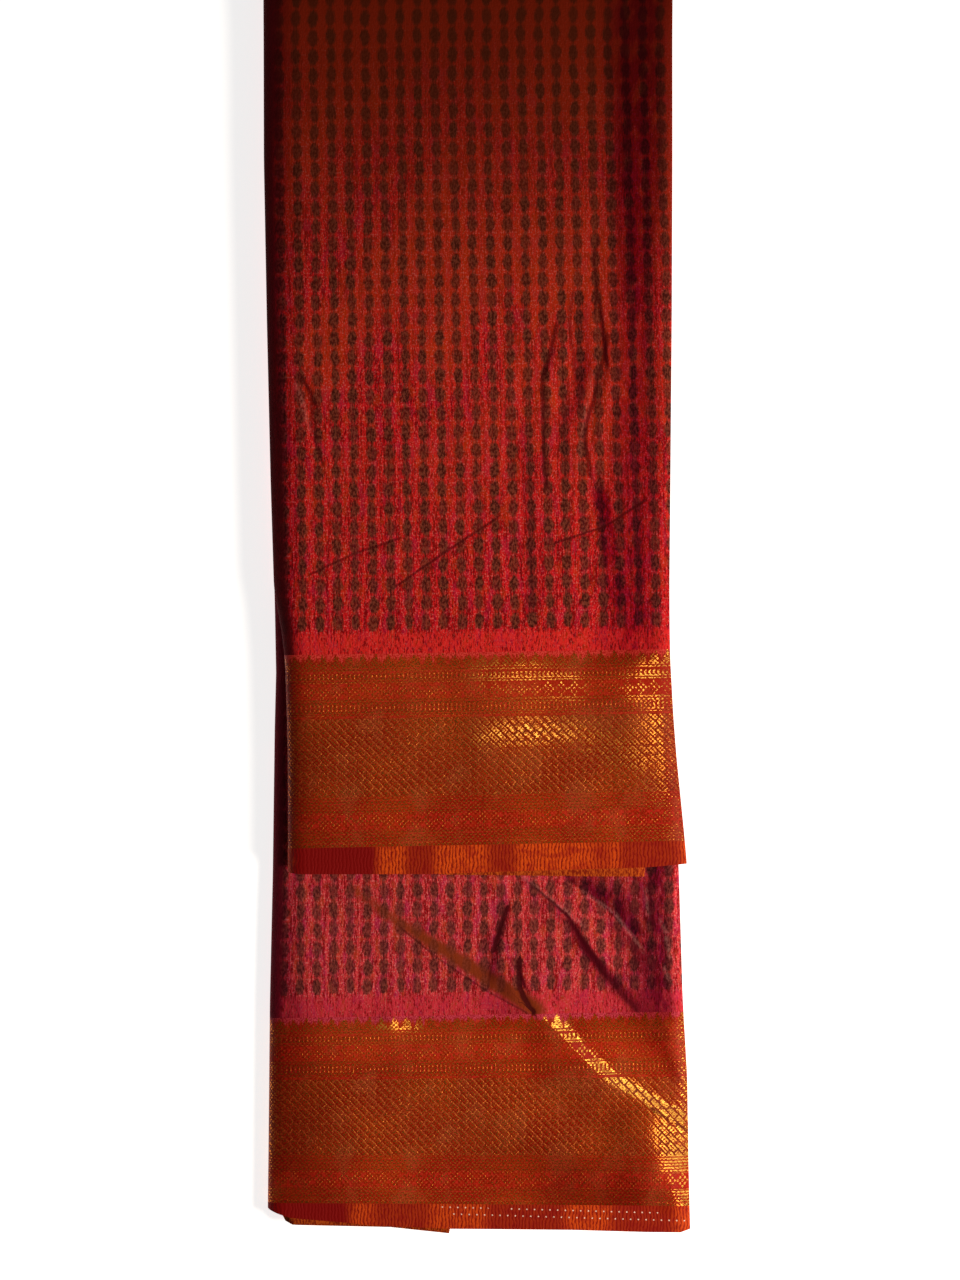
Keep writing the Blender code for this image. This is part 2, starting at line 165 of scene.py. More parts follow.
LOWER_CREASES = {
    "main pleat": ((-72, 497, 0.1, 4, 14), (-43, 517, 0.4, 5, 16), (-22, 531, 0.8, 7, 18),
        (5, 548, 1.3, 8, 20), (33, 566, 3, 9, 18), (51, 586, 3.8, 8.5, 26), (70, 604, 4, 8, 30),
        (111, 626, 2.8, 6.5, 22)),
    "second pleat": ((24, 492, 0.4, 8, 3), (49, 513, 0.8, 11, 3), (60, 529, 1.5, 12, 6),
        (72, 543, 1.2, 12, 8), (84, 557, 0.6, 12, 9), (93, 566, 0.2, 8, 6)),
    "raised right edge": ((104, 488, 4.2, 9, 52), (105, 520, 4.4, 9, 38), (106, 552, 3.6, 9, 30),
        (107, 572, 0.4, 6, 20)),
    "turned-up corner": ((84, 620, 0.8, 16, 14), (88, 632, 4.5, 25, 26), (95, 649, 4.4, 21, 24),
        (104, 664, 2.4, 12)),
    "glint below the temples": ((-46, 562, 0.2, 9), (-46, 570, 1.4), (-45, 580, 0.2)),
    "thin pleat, top right": ((47, 493, 0.2, 4, 9), (68, 510, 0.7, 3, 9), (93, 535, 0.3)),
    "hollow between the pleats": ((17, 504, -0.2, 8, 6), (11, 526, -0.7, 14, 7), (8, 550, -0.2, 8, 6)),
    "star crease, left": ((16.4, 510, -0.2, 2.5, 3), (11.5, 523, -1.3, 3, 3.5), (8.5, 534, -0.9, 2.5, 3),
        (5.8, 553, -0.2)),
    "star crease, right": ((21.2, 541, -0.2, 2.5, 3), (23.5, 552, -1.4, 3, 3.5), (29.7, 564, -0.8, 3)),
    "first wrinkle": ((91, 492, -0.1, 2.5, 3), (90, 508, -0.3), (94, 527, -0.3), (93, 552, -0.1)),
    "second wrinkle": ((98, 490, -0.2, 2.5, 3), (100, 507, -0.3), (98, 524, -0.3), (101, 556, -0.2)),
}

# What else the cloth shows at places, as strengths in the creases' form. Shade is painted shade,
# lit is a painted glint where the gold catches the window light, glow is a painted pool of light
# on the silk below the gold, dull is where less gold shows, pale is a painted highlight along
# crests, and orange is a painted sheen on the main pleat's side that faces the window
UPPER_MARKS = {
    "shade": {
        "fold along the right edge": ((85, 24, 1.3, 24, 26), (85, 120, 1.3, 24), (83, 200, 0.9, 22, 20),
            (84, 300, 0.9, 22, 24), (84, 368, 1, 22, 28)),
        "fold above the border": ((64, 280, 0.3, 6), (66, 294, 1.5, 8), (70, 318, 1.6), (73, 340, 1.6),
            (76, 358, 0.5, 6)),
        "between the long creases": ((56, 186, 0.3, 7, 8), (58, 226, 0.8, 8, 10), (48, 252, 0.6),
            (46, 280, 0.2, 7, 8)),
        "along the spine": ((-110, 24, 1, 17, 9), (-109, 200, 1, 18, 9), (-104, 368, 0.9, 17, 9),
            (-100, 420, 0.9, 26, 9), (-100, 476, 1, 30, 9)),
        "faint, right of the middle": ((24, 250, 0.1, 6), (28, 300, 0.5, 7), (30, 350, 0.5, 7, 8)),
    },
    "lit": {
        "across the middle": ((3, 418, 0.6, 12, 11), (26, 416, 0.9, 13, 12), (48, 416, 0.6, 14, 12)),
        "on the temples": ((4, 386, 0.5, 13), (30, 388, 0.6, 14), (50, 392, 0.9, 13)),
        "right temples": ((84, 392, 0.8, 13), (99, 384, 1.3, 14), (99, 398, 1, 12)),
        "near the right edge": ((98, 410, 0.5, 10, 18), (102, 440, 0.35, 8, 12), (106, 470, 0.2, 8)),
        "faint, right of the middle": ((60, 420, 0.4, 16), (84, 430, 0.4, 22, 16)),
    },
    "glow": {
        "upper middle": ((-66, 382, 0.5, 30, 50), (-20, 388, 1, 30, 64), (30, 392, 1, 30, 60),
            (60, 396, 0.5, 30, 50)),
    },
    # Less gold shows along the right edge here
    "dull": {
        "worn right edge": ((100, 378, 0.8, 9, 6), (102, 431, 1.2), (107, 475, 1.3)),
    },
    "pale": {
        "beside the crooked crease": ((-96, 232, 0.6, 1.5), (-92, 242, 1, 1.5, 2.5),
            (-88, 258, 0.7, 1.5, 2)),
        "beside the long crease": ((61, 226, 0.4, 1.5), (57, 252, 0.8, 1.5, 2), (53, 276, 0.4, 1.5)),
    },
}
# The same marks on the long flap: painted shade, glints, light, highlights and sheen, and where less gold
# shows
LOWER_MARKS = {
    "shade": {
        "right side": ((97, 488, 1, 9, 26), (97, 520, 1, 9, 28), (98, 548, 1, 9, 34),
            (100, 566, 1, 9, 38)),
        "below the second pleat": ((24, 496, 0.2, 1.5, 4), (46, 516, 0.4, 2, 5), (60, 534, 1, 3, 8),
            (76, 552, 0.9, 6, 10), (90, 566, 0.7)),
        "above the thin pleat": ((48, 494, 0.9, 20, 1.5), (70, 511, 1.2, 24, 1.5),
            (92, 534, 0.9, 18, 1.5)),
        "left of the star crease": ((15, 508, 0.4, 5, 8), (10, 526, 0.9, 6, 10), (9, 544, 0.7),
            (18, 556, 0.4, 4, 8)),
        "along the spine": ((-106, 340, 0.9, 9), (-106, 488, 0.8, 16, 9), (-106, 566, 0.9, 24, 9),
            (-104, 600, 1, 42, 9), (-102, 670, 1, 46, 9)),
        "left of the turned-up corner": ((10, 640, 0.3, 30), (50, 655, 0.9, 34), (76, 668, 1, 30, 40)),
        "beside the right edge": ((86, 562, 0.7, 8, 9), (97, 580, 0.9, 7, 9), (106, 600, 0.6, 5, 7)),
    },
    "pale": {
        "second pleat": ((23, 492, 0.6, 1.6), (38.3, 504.7, 0.9), (48.3, 512.6, 0.9), (57, 520, 0.5)),
        "thin pleat": ((56, 501.3, 0.5, 1.5), (72.8, 512.6, 0.9), (88.4, 532.8, 0.7)),
        "first wrinkle": ((89.5, 500, 0.6, 1.5), (90.7, 513.7, 0.8)),
        "second wrinkle": ((97, 516, 0.5, 1.5), (99.6, 521.6, 0.8), (102.4, 536.2, 0.8)),
        "third wrinkle": ((99, 541, 0.7, 1.5), (101.8, 548, 0.7)),
    },
    "orange": {
        "main pleat": ((-66, 500, 0.4, 4), (-43, 517, 0.8, 5), (-20, 531, 1.2, 5.5), (2, 545, 1.4, 6.5, 6),
            (16, 554, 1.4, 7, 6.5), (31, 564, 1.4, 7.5, 6.5)),
    },
    "lit": {
        "below the temples": ((-51, 571, 0.5, 8), (-35, 573, 0.6, 9)),
        "turned-up corner": ((99, 628, 0.9, 11, 9), (104, 640, 1.1, 12, 11), (110, 660, 0.9, 8)),
        "over the main pleat": ((36, 568, 0.7, 7, 2), (60, 592, 0.7), (108, 622, 0.7)),
    },
    "glow": {
        "upper left": ((-74, 574, 0.8, 20, 26), (-46, 576, 1, 20, 28), (-10, 578, 0.7, 20, 24)),
        "right of the main pleat": ((70, 575, 0.3, 14), (84, 592, 0.6)),
    },
    # Less gold shows along the right edge here
    "dull": {
        "worn right edge": ((104, 566, 0.9, 9, 6), (106, 600, 0.9), (108, 612, 0.4)),
    },
}

# Creases pressed in as fine lines, along which painted shade darkens the cloth: how far beside it
# each darkens the cloth, how much, and its places across and down
Pressed = namedtuple("Pressed", "reach depth places")
UPPER_PRESSED = rows_of(Pressed, (1.2, 0.8, ((-41, 314), (-66, 322.5), (-88, 333))),
    (1.2, 0.9, ((11, 303), (-17, 321.5), (-43, 339.5))), (1.2, 0.9, ((89, 294), (67, 308), (41, 316.5))),
    (1.7, 0.6, ((-93, 228), (-88.5, 236), (-86.7, 246), (-88, 251), (-84, 267), (-81, 275))),
    (1.6, 0.6, ((64, 156), (62, 166), (63, 180), (62.5, 194))),
    (2, 0.8, ((69, 207), (67.5, 218), (64, 227), (62, 240), (58, 252), (57, 262), (60, 281))),
    (1.8, 0.5, ((50.4, 185), (48.5, 202), (50.4, 213), (52.3, 230))),
    (2, 0.8, ((42, 202), (38, 219), (34.2, 230), (35, 249), (35.5, 276), (37, 287))))
LOWER_PRESSED = rows_of(Pressed, (0.9, 0.6, ((-40, 521), (-22, 536), (5, 554), (27, 566))),
    (1.1, 0.7, ((28, 497), (38, 505), (49, 515))),
    (2.6, 0.7, ((51, 518), (58, 529), (66, 543), (77, 556), (85, 564))),
    (1.9, 0.75, ((93, 616.5), (98, 619.5), (111, 627.5))),
    (2.4, 1.1, ((16, 510), (11.5, 523), (8.5, 534))), (1, 0.6, ((8.5, 534), (5.8, 553))),
    (2.6, 1.3, ((22.5, 538), (22.5, 551), (25, 558), (30, 565.5))))

# Where the layers' edges show at the right and at both ends
LAYER_INSETS = (2.6, 1.4, 3.1, 1.2, 2.2, 3.4, 1.6, 2.8, 1.0, 2.4, 3.2, 1.5, 2.9, 1.1)
LAYERS = len(LAYER_INSETS)
GROOVE = 1.7
RIM_SHARE = 0.2
INNER_MARGIN = 13.0
RIGHT_MARGIN = 9.0
AT_HEM = None
TURN_V = -350.0

# How each layer's edge wavers: how far, in how many millimetres a radian, and how many radians on
# from the layer before it
LAYER_WAVERS = ((0.64, 150 / (2 * math.pi), 2.1), (0.28, 7.5, 1.3))

# How far apart the rows and columns are, in millimetres, and how many there are
SHOWN_ROW = 1.4
COVERED_ROW = 30.0
SHOWN_COLUMN = 1.4
HIDDEN_COLUMN = 18.0
SPINE_STEPS = 18
TURN_STEPS = 40
STRAIGHT_STEPS = 5
LAYER_ROW = 4.0
LAYER_COLUMN = 5.0
LAYER_COLUMNS_TO = 96.0
LAYER_TURN_STATIONS = 21
CLOSEST_COLUMNS = 0.5


def smooth(share):
    """Eases from 0 to 1 as the share goes from 0 to 1."""
    share = np.clip(share, 0.0, 1.0)
    return share * share * (3 - 2 * share)


def between(rows, name, at, key="down"):
    """A table's value at each place, between those of its rows."""
    return np.interp(at, [getattr(row, key) for row in rows], [getattr(row, name) for row in rows])


def line(rows, x):
    """How far down a line across the cloth lies at each x."""
    return between(rows, "down", x, "x")


def eased(rows, name, down):
    """A table's value at each place down, with the table's corners rounded."""
    nearby = [between(rows, name, down + step * EDGE_ROUNDING) for step in (-1, -0.5, 0, 0.5, 1)]
    return sum(nearby) / len(nearby)


def beside_stretch(start, end, x, down):
    """The share of the way along a straight stretch, the distance from it, and on which side."""
    run_x, run_down = end[0] - start[0], end[1] - start[1]
    from_x, from_down = x - start[0], down - start[1]
    share = np.clip((from_x * run_x + from_down * run_down) / (run_x**2 + run_down**2), 0, 1)
    away = np.hypot(from_x - share * run_x, from_down - share * run_down)
    return share, away, from_x * run_down > from_down * run_x


def in_full(crease):
    """A crease's places with a reach for both sides."""
    places = []
    for x, down, height, *reach in crease:
        places.append((x, down, height, *((reach * 2)[:2] or places[-1][3:])))
    return places


def crease_height(crease, x, down):
    """How far one crease lifts the cloth, or lowers it: the most of its stretches."""
    crease = in_full(crease)
    height = np.zeros_like(x)
    for start, end in zip(crease, crease[1:]):
        share, away, on_right = beside_stretch(start, end, x, down)
        crest, right, left = [low + share * (high - low) for low, high in zip(start[2:], end[2:])]
        here = crest * (1 - smooth(away / np.where(on_right, right, left)))
        height = np.where(np.abs(here) > np.abs(height), here, height)
    return height


def pressed_creases(lines, x, down):
    """How far beside the nearest pressed crease each place is, in its reaches and below 0 on its
    left, and how strongly painted shade darkens the cloth there."""
    nearest, beside, pressed = np.full_like(x, 99.0), np.full_like(x, 99.0), np.zeros_like(x)
    for crease in lines:
        for start, end in zip(crease.places, crease.places[1:]):
            share, away, on_right = beside_stretch(start, end, x, down)
            closer = away < nearest
            nearest = np.where(closer, away, nearest)
            beside = np.where(closer, np.where(on_right, away, -away) / crease.reach, beside)
            here = crease.depth * (1 - smooth(away / (PRESSED_FADE * crease.reach)))
            pressed = np.where(closer, here, pressed)
    return beside, pressed


FLAP_HAS = "upper edges creases marks pressed beads border selvedge hem second_hem free_from"


class Flap(namedtuple("Flap", FLAP_HAS)):
    """One of the two flaps: its edges, its creases, its bead columns and its lines across."""

    def sides(self, down):
        return eased(self.edges, "left", down), eased(self.edges, "right", down)

    def lift(self, x, down, right, wall):
        """How far the panel that shows stands off its flat place."""
        swell = SWELL * np.cos(2 * np.pi * x / SWELL_SPACING) * np.cos(down / SWELL_SPACING)
        past = np.clip((x - right + EDGE_ROLL) / EDGE_ROLL, 0, 1)
        lift = swell * smooth((down - self.free_from) / LIFT_FADE)
        lift = lift - EDGE_DROP * past**2 * smooth((down - TURN_END) / LIFT_FADE)
        if wall:
            creased = sum(crease_height(crease, x, down) for crease in self.creases.values())
            return lift + np.maximum(creased, -DEEPEST)
        return lift - CORE_EASE

    def base(self, down):
        """The height of this flap's underside."""
        if not self.upper:
            return np.zeros_like(down)
        opened = smooth((TURN_EASE - down) / (TURN_EASE - TURN_RADIUS))
        return THICK + SEAM + opened * (2 * TURN_HOLLOW - SEAM)

    def place(self, x, down, depth, right, wall=True):
        above = THICK - depth if self.upper else depth
        shown = smooth((above - WALL - SEAM) / (THICK - 2 * (WALL + SEAM)))
        height = self.base(down) + above + shown * self.lift(x, down, right, wall)
        return np.stack((x, Y_TOP - down, height), axis=-1) * MM

    def cloth_u(self, x, down):
        """Millimetres across the woven cloth: 0 at the first bead column."""
        first, pitch = (between(self.beads, name, down) for name in ("first", "pitch"))
        return (x - first) / pitch * BEAD_ACROSS

    def cloth_v(self, x, down):
        """Millimetres along the woven cloth past the tips of the border's temples."""
        start, end = line(self.border, x), line(self.selvedge, x)
        in_border = (down - start) / (end - start) * BORDER_DEEP
        past = np.where(down > end, BORDER_DEEP + down - end, in_border)
        return np.where(down < start, down - start, past)


UPPER = Flap(
    True, UPPER_EDGES, UPPER_CREASES, UPPER_MARKS, UPPER_PRESSED, UPPER_BEADS,
    UPPER_BORDER_START, UPPER_SELVEDGE_START, UPPER_HEM, UPPER_SECOND_HEM, 30.0,
)
LOWER = Flap(
    False, LOWER_EDGES, LOWER_CREASES, LOWER_MARKS, LOWER_PRESSED, LOWER_BEADS,
    LOWER_BORDER_START, LOWER_SELVEDGE_START, LOWER_HEM, LOWER_SECOND_HEM, 488.0,
)


def sides_in_turn(share):
    """The cloth's left and right round the turn."""
    ends = zip(LOWER.sides(TURN_RADIUS), UPPER.sides(TURN_RADIUS))
    return [low + share * (high - low) for low, high in ends]


def place_in_turn(x, share, depth):
    """Places round the turn, from the long flap at share 0 to the short one at share 1."""
    radius = TURN_RADIUS - depth
    angle = np.pi * share
    down = TURN_RADIUS - radius * np.sin(angle)
    height = TURN_RADIUS - radius * np.cos(angle)
    return np.stack((x, Y_TOP - down, height), axis=-1) * MM


# Places round the cloth's open section. A panel's share runs from the spine to the edge's roll, an
# inset is a distance inside the right edge, and below is how deep the turned-under edge lies
Girth = namedtuple("Girth", "kind share inset below")
SHOWN, SPINE, HIDDEN = range(3)
NO_INSET = -1.0
PANEL_WIDE = 205.0
ROLL_INSETS = (6.6, 5.3, 4.0, 2.9, 1.9, 1.1, 0.5)
TURNED_UNDER = ((0.1, 0.15), (0.0, 0.5), (0.1, 0.85), (0.6, 1.0), (4.0, 1.05), (9.5, 1.05))


def panel(kind, spacing):
    """The columns of one panel, from the spine to the edge's roll."""
    columns = round(PANEL_WIDE / spacing)
    return [Girth(kind, step / columns, NO_INSET, 0.0) for step in range(columns + 1)]


def girth_of_cloth(upper):
    """The hidden panel and the panel that shows, joined by the rounded spine at the left: in
    order from the inner face's right edge round to the outer face's."""
    roll = [(inset, 0.0) for inset in ROLL_INSETS] + list(TURNED_UNDER)
    shown = panel(SHOWN, SHOWN_COLUMN) + [Girth(SHOWN, 1.0, *place) for place in roll]
    hidden = panel(HIDDEN, HIDDEN_COLUMN) + [Girth(HIDDEN, 1.0, 0.0, 0.0)]
    spine = [Girth(SPINE, step / SPINE_STEPS, NO_INSET, 0.0) for step in range(1, SPINE_STEPS)]
    if upper:
        return hidden[::-1] + spine[::-1] + shown
    return shown[::-1] + spine[::-1] + hidden


def spine_arc(angle):
    """The way round the spine to this angle, where the spine is about a circle."""
    return angle * (SPINE_REACH + THICK / 2) / 2


def on_cloth(left, right, upper):
    """x, depth and the way past the spine's shown side, of each station and place round."""
    kind, share, inset, below = map(np.array, zip(*girth_of_cloth(upper)))
    left, right = left[:, None], right[:, None]
    spine_x = left + SPINE_REACH
    angle = np.pi * share
    on_panel = np.where(inset >= 0, right - inset, spine_x + share * (right - EDGE_ROLL - spine_x))
    x = np.where(kind == SPINE, spine_x - SPINE_REACH * np.sin(angle), on_panel)
    spine_depth = THICK / 2 * (1 - np.cos(angle))
    shown_depth, hidden_depth = (below, THICK) if upper else (THICK - below, 0.0)
    depth = np.where(kind == SHOWN, shown_depth, hidden_depth)
    depth = np.where(kind == SPINE, spine_depth, depth)
    from_shown = angle if upper else np.pi - angle
    past_spine = np.where(kind == SPINE, spine_arc(from_shown), spine_arc(np.pi) + x - spine_x)
    past_spine = np.where(kind == SHOWN, 0.0, past_spine)
    return x, np.broadcast_to(depth, x.shape), np.broadcast_to(past_spine, x.shape)


def u_round(flap, x, down, left, past_spine):
    """u of places round the cloth, which runs on round the spine."""
    spine_x = (left + SPINE_REACH)[:, None]
    return flap.cloth_u(np.where(past_spine > 0, spine_x, x), down) - past_spine


def new_piece(name, bm, lay):
    """Makes the bmesh a piece: its vertices hold whole numbers, which `lay` turns into places in
    metres, into u and v, and into values for the shaders by name."""
    mesh = bpy.data.meshes.new(name)
    bm.to_mesh(mesh)
    bm.free()
    steps = np.empty(len(mesh.vertices) * 3)
    mesh.vertices.foreach_get("co", steps)
    places, cloth, marks = lay(np.rint(steps.reshape(-1, 3)).astype(int))
    mesh.vertices.foreach_set("co", places.ravel())
    corners = np.empty(len(mesh.loops), dtype=int)
    mesh.loops.foreach_get("vertex_index", corners)
    mesh.uv_layers.new(name="cloth").data.foreach_set("uv", cloth[corners].ravel())
    for mark, values in marks.items():
        mesh.attributes.new(mark, "FLOAT", "POINT").data.foreach_set("value", values)
    mesh.shade_smooth()
    mesh.update()
    piece = bpy.data.objects.new(name, mesh)
    bpy.context.scene.collection.objects.link(piece)
    return piece


def steepness(places, way):
    """How fast the cloth rises along x, which is way 0, or along y."""
    axis = 1 - way
    run = np.gradient(places[..., way], axis=axis)
    run = np.where(np.abs(run) < STEEP * MM, STEEP * MM, run)
    return np.clip(np.gradient(places[..., 2], axis=axis) / run, -1, 1)


def woven_sheet(name, places, cloth, marks):
    """A sheet from its stations' places and cloth coordinates, with the cloth's thickness. Its
    lean is how steeply it rises towards the window, so that it faces away from it."""
    rows, columns = places.shape[0] - 1, places.shape[1] - 1
    bm = bmesh.new()
    bmesh.ops.create_grid(bm, x_segments=rows, y_segments=columns, size=0.5)
    bmesh.ops.translate(bm, verts=bm.verts, vec=(0.5, 0.5, 0.0))
    bmesh.ops.scale(bm, verts=bm.verts, vec=(rows, columns, 1.0))
    for edge in bm.edges:
        edge.smooth = not edge.is_boundary
    lean = sum(toward * steepness(places, way) for way, toward in enumerate(WINDOW_SIDE))
    marks = {"lean": np.clip(lean, -1, 1), **marks}

    def lay(steps):
        at = (steps[:, 0], steps[:, 1])
        return places[at], cloth[at], {mark: values[at] for mark, values in marks.items()}

    piece = new_piece(name, bm, lay)
    shell = piece.modifiers.new("cloth thickness", "SOLIDIFY")
    shell.thickness = SHELL * MM
    shell.offset = -1
    return piece


def flap_sheet(name, flap, start, end, shares):
    """A stretch of one flap's cloth between two lines across it."""
    if not flap.upper:
        shares = shares[::-1]
    left, right = flap.sides(line(start, 0) + shares * (line(end, 0) - line(start, 0)))
    x, depth, past_spine = on_cloth(left, right, flap.upper)
    covered = depth / THICK if flap.upper else 1 - depth / THICK
    near = line(start, x)
    far = line(end, x) - (covered * UNDER_SHORTER if end is flap.hem else 0.0)
    down = near + shares[:, None] * (far - near)
    places = flap.place(x, down, depth, right[:, None])
    u = u_round(flap, x, down, left, past_spine)
    marks = dict(zip(("beside_crease", "pressed"), pressed_creases(flap.pressed, x, down)))
    for mark, creases in flap.marks.items():
        strengths = [crease_height(crease, x, down) for crease in creases.values()]
        marks[mark] = np.clip(np.maximum.reduce(strengths), 0, 1)
    return woven_sheet(name, places, np.stack((u, flap.cloth_v(x, down)), axis=-1), marks)


def turn_sheet(name):
    """The turn across, with a short straight run on both flaps."""
    straight = np.linspace(TURN_END, TURN_RADIUS, STRAIGHT_STEPS + 1)[:-1]
    back = straight[::-1]
    bend = np.linspace(0, 1, TURN_STEPS + 1)
    half_round = math.pi * TURN_RADIUS
    parts, ways, us = [], [], []
    for flap, at, sides, way in (
        (LOWER, straight, LOWER.sides(straight), TURN_END - 2 * TURN_RADIUS + half_round + straight),
        (None, bend, sides_in_turn(bend), TURN_END - TURN_RADIUS + half_round * (1 - bend)),
        (UPPER, back, UPPER.sides(back), TURN_END - back),
    ):
        left, right = sides
        x, depth, past_spine = on_cloth(left, right, True)
        at = np.broadcast_to(at[:, None], x.shape)
        parts.append(flap.place(x, at, depth, right[:, None]) if flap else place_in_turn(x, at, depth))
        ways.append(np.broadcast_to(way[:, None], x.shape))
        us.append(u_round(UPPER, x, TURN_END, left, past_spine))
    u, way, places = np.concatenate(us), np.concatenate(ways), np.concatenate(parts)
    v = TURN_END - line(UPPER_BORDER_START, places[..., 0] / MM) - way
    return woven_sheet(name, places, np.stack((u, v), axis=-1), {})


def even_shares(start, end, row):
    """Shares of the way from one line to another, about this far apart."""
    count = max(round((line(end, 0) - line(start, 0)) / row), 1)
    return np.linspace(0, 1, count + 1)


def lower_field_shares():
    """Rows of the long flap's field: far apart where the short flap covers it, then close."""
    whole = line(LOWER_BORDER_START, 0) - TURN_END
    open_from = line(UPPER_HEM, 0) - LIFT_FADE
    covered = np.arange(TURN_END, open_from, COVERED_ROW)
    shown = np.arange(open_from, TURN_END + whole - SHOWN_ROW / 2, SHOWN_ROW)
    return np.concatenate((covered, shown, [TURN_END + whole])) / whole - TURN_END / whole


# The folded layers inside



def layer_rows():
    """Rows through the thickness, each with its depth, its layer and whether it's a groove: one
    between every two layers, and both rims of each layer's edge."""
    first = WALL + SEAM
    layer_thick = (THICK - 2 * first) / LAYERS
    rim = layer_thick * RIM_SHARE
    rows = []
    for layer in range(LAYERS):
        outer = first + layer * layer_thick
        rows += [(outer, layer, True), (outer + rim, layer, False)]
        rows += [(outer + layer_thick - rim, layer, False)]
    rows[:2] = [(first, 0, False)]
    rows[-1] = (outer + layer_thick, layer, False)
    return rows


def layer_inset(layer, groove, at):
    """How far inside the wrap each layer's edge lies, or the groove before it."""
    inset = np.array(LAYER_INSETS)
    waver = sum(reach * np.sin(at / long + layer * on) for reach, long, on in LAYER_WAVERS)
    deepest = np.maximum(inset[layer], inset[np.maximum(layer - 1, 0)])
    return np.where(groove, deepest + GROOVE, inset[layer] + waver)


def layer_stations():
    """Stations along the layers from the long flap's hem round to the short flap's, each with its
    flap and its distance down, with no flap and a share round the turn, or with AT_HEM."""
    ends = line(LOWER_HEM, 0) - INNER_MARGIN, line(UPPER_HEM, 0) - INNER_MARGIN
    shown = np.arange(*ends, -LAYER_ROW)
    covered = np.arange(shown[-1] - LAYER_ROW, TURN_RADIUS + LAYER_ROW / 2, -LAYER_ROW)
    upper = np.arange(TURN_RADIUS + LAYER_ROW, ends[1], LAYER_ROW)
    turn = np.linspace(0, 1, LAYER_TURN_STATIONS)
    runs = ((LOWER, (AT_HEM, *shown, *covered)), (None, turn), (UPPER, (*upper, AT_HEM)))
    return [(flap, at) for flap, run in runs for at in run]


def layer_columns():
    """Places across the layers between their two margins, close at the second hems' ends."""
    ends = [row.x for row in (*UPPER_SECOND_HEM, *LOWER_SECOND_HEM)]
    even = np.arange(-LAYER_COLUMNS_TO, LAYER_COLUMNS_TO, LAYER_COLUMN)
    even = [x for x in even if min(abs(x - end) for end in ends) > CLOSEST_COLUMNS]
    return np.array(sorted({*even, *(x for x in ends if abs(x) < LAYER_COLUMNS_TO)}))


def layer_hem(flap, x, layer, groove):
    """How far down each layer ends. The layer next to the panel that shows has its own hem."""
    hem, second = flap.hem, flap.second_hem
    next_to_shown = (layer == (0 if flap.upper else LAYERS - 1)) & ~groove
    tucked = line(hem, x) - UNDER_SHORTER
    peeks = next_to_shown & (x > second[0].x) & (x < second[-1].x)
    plain = np.where(next_to_shown, tucked, tucked - layer_inset(layer, groove, x))
    return np.where(peeks, line(second, x), plain)


def box_of_grids(counts):
    """A closed box of whole numbers, joined from six grids."""
    bm = bmesh.new()
    for axis in range(3):
        across, along = [other for other in range(3) if other != axis]
        for side in (0, 1):
            segments = {"x_segments": counts[across], "y_segments": counts[along]}
            for vertex in bmesh.ops.create_grid(bm, size=0.5, **segments)["verts"]:
                step = [0.0, 0.0, 0.0]
                step[axis] = side * counts[axis]
                step[across] = (vertex.co.x + 0.5) * counts[across]
                step[along] = (vertex.co.y + 0.5) * counts[along]
                vertex.co = step
    bmesh.ops.remove_doubles(bm, verts=bm.verts, dist=0.1)
    bmesh.ops.recalc_face_normals(bm, faces=bm.faces)
    return bm


def hidden_layers(name):
    """The folded panels inside as one closed body, with every vertex of a box laid in the
    folded form."""
    stations, rows, columns = layer_stations(), layer_rows(), layer_columns()
    bm = box_of_grids((len(columns) + 3, len(stations) - 1, len(rows) - 1))
    depths, layers, grooves = map(np.array, zip(*rows))

    def lay(steps):
        column, station, row = steps.T
        depth, layer, groove = depths[row], layers[row], grooves[row]
        places, cloth = np.zeros((len(steps), 3)), np.zeros((len(steps), 2))
        for number, (flap, at) in enumerate(stations):
            here = station == number
            level = line(flap.hem, 0) if at is AT_HEM else at
            left, right = flap.sides(level) if flap else sides_in_turn(at)
            x = layer_x(column[here], depth[here], layer[here], groove[here], level, left, right, columns)
            if not flap:
                places[here] = place_in_turn(x, at, depth[here])
                cloth[here] = np.stack((x, np.full_like(x, TURN_V)), axis=-1)
                continue
            down = layer_hem(flap, x, layer[here], groove[here]) if at is AT_HEM else np.full_like(x, at)
            places[here] = flap.place(x, down, depth[here], right, wall=False)
            cloth[here] = np.stack((flap.cloth_u(x, down), flap.cloth_v(x, down)), axis=-1)
        return places, cloth, {}

    return new_piece(name, bm, lay)


def layer_x(column, depth, layer, groove, at, left, right, columns):
    """x of places on the layers: their left is rounded inside the spine, their right is edges."""
    inside = WALL + SEAM
    tall = (depth - THICK / 2) / (THICK / 2 - inside)
    rounding = (SPINE_REACH - inside - SPINE_EASE) * np.sqrt(np.maximum(1 - tall**2, 0.0))
    inner = np.concatenate(([0.0, left + INNER_MARGIN], columns, [right - RIGHT_MARGIN, 0.0]))
    x = np.where(column == 0, left + SPINE_REACH - rounding, inner[column])
    return np.where(column == len(inner) - 1, right - layer_inset(layer, groove, at), x)


# Materials


def linear(code):
    """An sRGB hex colour as linear red, green, blue and alpha."""
    channels = [int(code[at : at + 2], 16) / 255 for at in (1, 3, 5)]
    return [c / 12.92 if c <= 0.04045 else ((c + 0.055) / 1.055) ** 2.4 for c in channels] + [1.0]


def give(socket, value):
    """Gives a socket its input: a value, a hex colour or another node's output."""
    if isinstance(value, bpy.types.NodeSocket):
        socket.id_data.links.new(value, socket)
    else:
        socket.default_value = linear(value) if isinstance(value, str) else value


